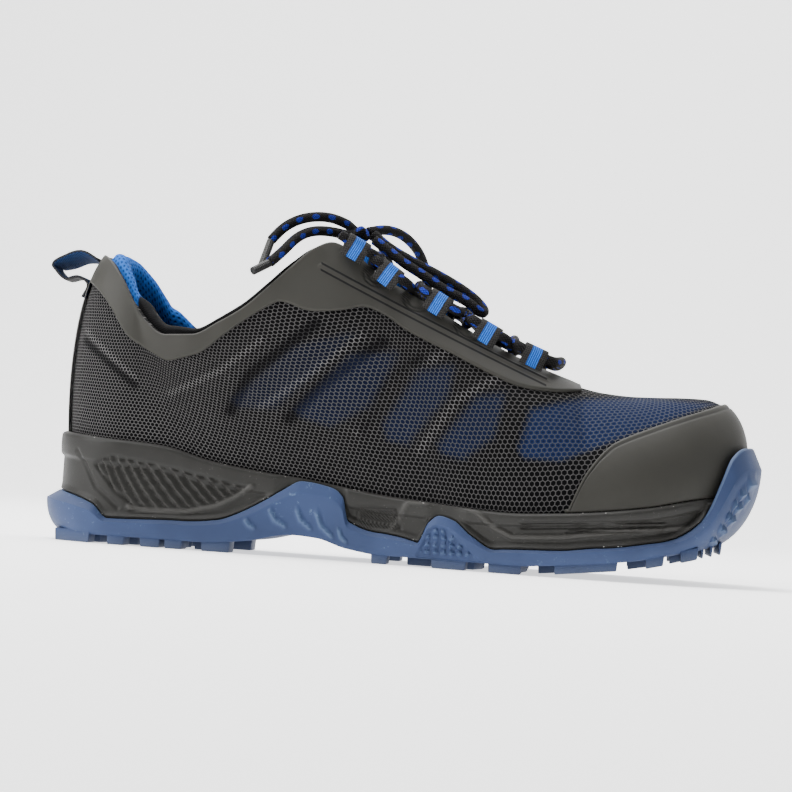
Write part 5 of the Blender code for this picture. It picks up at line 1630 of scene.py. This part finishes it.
class SNEAKER_OT_stage(bpy.types.Operator):
    """Sets up the pale floor, the soft lights and the camera of the photograph"""

    bl_idname = "sneaker.stage"
    bl_label = "Studio"

    def execute(self, context):
        half = sizes().floor / 2
        plan = [(-half, 0.0), (0.4, 0.0), (SWEEP_START, 0.0)]
        for turn in np.linspace(0, pi / 2, 24)[1:]:
            plan.append((SWEEP_START + SWEEP_RADIUS * sin(turn), SWEEP_RADIUS * (1 - cos(turn))))
        plan.append((SWEEP_START + SWEEP_RADIUS, SWEEP_TOP))
        points = np.array([[(x, y, z) for y, z in plan] for x in np.linspace(-half, half, 9)])
        room = laid_grid("studio_floor", points, grid_measure(points), turned=False)
        room.data.materials.append(room_paint())
        bpy.ops.object.shade_smooth()
        for row in LIGHTS:
            bpy.ops.object.light_add(type="AREA", location=row.place)
            light = bpy.context.object
            light.name = row.name
            light.data.size = row.size
            light.data.energy = sizes().key * row.power
            way = Vector(row.aim) - Vector(row.place)
            light.rotation_euler = way.to_track_quat("-Z", "Y").to_euler()
        world = bpy.data.worlds.new("studio light")
        world.use_nodes = True
        sky = world.node_tree.nodes["Background"].inputs
        sky["Color"].default_value = (1, 1, 1, 1)
        sky["Strength"].default_value = WORLD_LIGHT
        context.scene.world = world
        bpy.ops.object.camera_add(location=CAMERA)
        camera = bpy.context.object
        aim = (Vector(AIM) - Vector(CAMERA)).to_track_quat("-Z", "Y").to_matrix().to_4x4()
        camera.matrix_world = Matrix.Translation(CAMERA) @ aim @ Matrix.Rotation(radians(ROLL), 4, "Z")
        camera.data.lens = LENS
        camera.data.sensor_width = 36
        camera.data.clip_end = 50
        context.scene.camera = camera
        return {"FINISHED"}


class SNEAKER_OT_outsole(bpy.types.Operator):
    """Moulds the blue outsole: cup, fins, toe bumper and tread blocks"""

    bl_idname = "sneaker.outsole"
    bl_label = "Outsole"

    def execute(self, context):
        sole = joined([make_outsole_shell()] + make_tread_blocks())
        places = spots(sole)
        height = (places[:, 2] - tread(share_at(places[:, 0]))) / MM
        mark_points(sole, "worn", 1 - smoothed(height, 0.15, 0.9))
        finished(sole, [rubber_paint()], "blue_rubber", "outsole", smooth=35)
        return {"FINISHED"}


class SNEAKER_OT_midsole(bpy.types.Operator):
    """Moulds the black midsole with its rolled edge, ribbed leaf, panel and rail"""

    bl_idname = "sneaker.midsole"
    bl_label = "Midsole"

    def execute(self, context):
        finished(make_midsole_band(), [foam_paint()], "black_foam", "midsole", smooth=45)
        return {"FINISHED"}


class SNEAKER_OT_insole(bpy.types.Operator):
    """Lays the dished insole inside the shoe"""

    bl_idname = "sneaker.insole"
    bl_label = "Insole"

    def execute(self, context):
        paint = textile_paint("black insole textile", colours().textile, 0.8)
        finished(make_insole_board(), [paint], "black_padding", "insole")
        return {"FINISHED"}


class SNEAKER_OT_upper(bpy.types.Operator):
    """Draws the air mesh upper with its folds, blue windows and inner lining"""

    bl_idname = "sneaker.upper"
    bl_label = "Upper"

    def execute(self, context):
        lining = textile_paint("black inner lining", colours().textile, 0.7)
        finished(make_upper_shell(), [mesh_paint(), lining], "black_mesh", "upper", smooth=60)
        return {"FINISHED"}


class SNEAKER_OT_films(bpy.types.Operator):
    """Lays the fused films: toe cap, collar with eyestay, and heel strip"""

    bl_idname = "sneaker.films"
    bl_label = "Films"

    def execute(self, context):
        paint = film_paint()
        finished(make_toe_cap_film(), [paint], "grey_film", "toe_cap", smooth=50)
        finished(make_collar_films(), [paint], "grey_film", "collar_film", smooth=50)
        return {"FINISHED"}


class SNEAKER_OT_collar(bpy.types.Operator):
    """Fills the padded collar, blue spacer mesh round the heel and black knit in front"""

    bl_idname = "sneaker.collar"
    bl_label = "Collar padding"

    def execute(self, context):
        roll = make_collar_roll()
        finished(roll, [lining_paint()], "blue_lining", "collar_padding", smooth=60)
        return {"FINISHED"}


class SNEAKER_OT_tongue(bpy.types.Operator):
    """Fills the padded tongue under the laces"""

    bl_idname = "sneaker.tongue"
    bl_label = "Tongue"

    def execute(self, context):
        tongue = make_tongue_pad()
        paint = textile_paint("black tongue knit", colours().textile, 1.1)
        finished(tongue, [paint], "black_padding", "tongue", smooth=60)
        return {"FINISHED"}


class SNEAKER_OT_loops(bpy.types.Operator):
    """Sews the ten webbing loops of the lacing to the eyestays"""

    bl_idname = "sneaker.loops"
    bl_label = "Webbing loops"

    def execute(self, context):
        paint = webbing_paint()
        for hand, where in ((-1, "outer"), (1, "inner")):
            for index in range(len(LOOPS)):
                loop = make_webbing_loop(index, hand)
                loop.name = loop.data.name = f"webbing_{where}_{index + 1}"
                finished(loop, [paint], "blue_webbing", f"lace_loop_{where}_{index + 1}", smooth=50)
        return {"FINISHED"}


class SNEAKER_OT_laces(bpy.types.Operator):
    """Threads the lace through its loops and ties the knot, bow and ends"""

    bl_idname = "sneaker.laces"
    bl_label = "Laces"

    def execute(self, context):
        paint = braid_paint()
        width = sizes().lace
        crossings = tube("lace_crossings_finish", smooth_route(lace_route(), CORD_STEP), width, 14)
        finished(crossings, [paint], "lace_black", "lace_crossings", smooth=60)
        finished(make_knot(), [paint], "lace_black", "lace_knot", smooth=60)
        tips = {}
        # One plastic at both tips: the high tip's lighter tint is painted light and the low tip's darker tint
        # painted shade
        for name, points, tint in (
            ("aglet_high", AGLET_HIGH, (0.050, 0.050, 0.048)),
            ("aglet_low", AGLET_LOW, (0.012, 0.012, 0.012)),
        ):
            tip = tube(name + "_finish", smooth_route(metres(points), AGLET_STEP), AGLET, 16)
            plastic = aglet_paint(name.replace("_", " ") + " plastic", tint)
            finished(tip, [plastic], "aglet_plastic", name, smooth=50)
            tips[name] = [tip]
        cords = (
            ("lace_bow_front", BOW_FRONT, "knot", []),
            ("lace_bow_inner", BOW_INNER, "knot", []),
            ("lace_end_high", END_HIGH, "fitting", tips["aglet_high"]),
            ("lace_end_low", END_LOW, "fitting", tips["aglet_low"]),
        )
        for name, points, far_end, pieces in cords:
            route = eased(smooth_route(metres(points), CORD_STEP), BOW_PASSES)
            cord = tube(name + "_finish", route, width, 16)
            finished(cord, [paint], "lace_black", name, smooth=60)
            route_length(route)
        return {"FINISHED"}


class SNEAKER_OT_pull_loop(bpy.types.Operator):
    """Sews the tape loop to the back of the collar"""

    bl_idname = "sneaker.pull_loop"
    bl_label = "Pull loop"

    def execute(self, context):
        finished(make_pull_loop(), [tape_paint()], "black_webbing", "pull_tab", smooth=50)
        return {"FINISHED"}


STEPS = (
    SNEAKER_OT_stage,
    SNEAKER_OT_laces,
    SNEAKER_OT_outsole,
    SNEAKER_OT_midsole,
    SNEAKER_OT_insole,
    SNEAKER_OT_upper,
    SNEAKER_OT_films,
    SNEAKER_OT_collar,
    SNEAKER_OT_tongue,
    SNEAKER_OT_loops,
    SNEAKER_OT_pull_loop,
)


class SNEAKER_PT_panel(bpy.types.Panel):
    """Lists the sneaker's sizes, colours and pieces"""

    bl_idname = "SNEAKER_PT_panel"
    bl_label = "Safety sneaker"
    bl_space_type = "VIEW_3D"
    bl_region_type = "UI"
    bl_category = "Sneaker"

    def draw(self, context):
        column = self.layout.column()
        for group in (context.scene.sneaker_sizes, context.scene.sneaker_colours):
            for name in group.bl_rna.properties.keys():
                if name not in ("rna_type", "name"):
                    column.prop(group, name)
        for step in STEPS:
            column.operator(step.bl_idname)


CLASSES = (SneakerColours, SneakerSizes, SNEAKER_PT_panel) + STEPS


def register():
    for item in CLASSES:
        bpy.utils.register_class(item)
    bpy.types.Scene.sneaker_colours = bpy.props.PointerProperty(type=SneakerColours)
    bpy.types.Scene.sneaker_sizes = bpy.props.PointerProperty(type=SneakerSizes)


def unregister():
    del bpy.types.Scene.sneaker_sizes
    del bpy.types.Scene.sneaker_colours
    for item in reversed(CLASSES):
        bpy.utils.unregister_class(item)


def main():
    register()
    clear_choice()
    bpy.ops.sneaker.stage()
    bpy.ops.sneaker.laces()
    bpy.ops.sneaker.outsole()
    bpy.ops.sneaker.midsole()
    bpy.ops.sneaker.insole()
    bpy.ops.sneaker.upper()
    bpy.ops.sneaker.films()
    bpy.ops.sneaker.collar()
    bpy.ops.sneaker.tongue()
    bpy.ops.sneaker.loops()
    bpy.ops.sneaker.pull_loop()


if __name__ == "__main__":
    main()
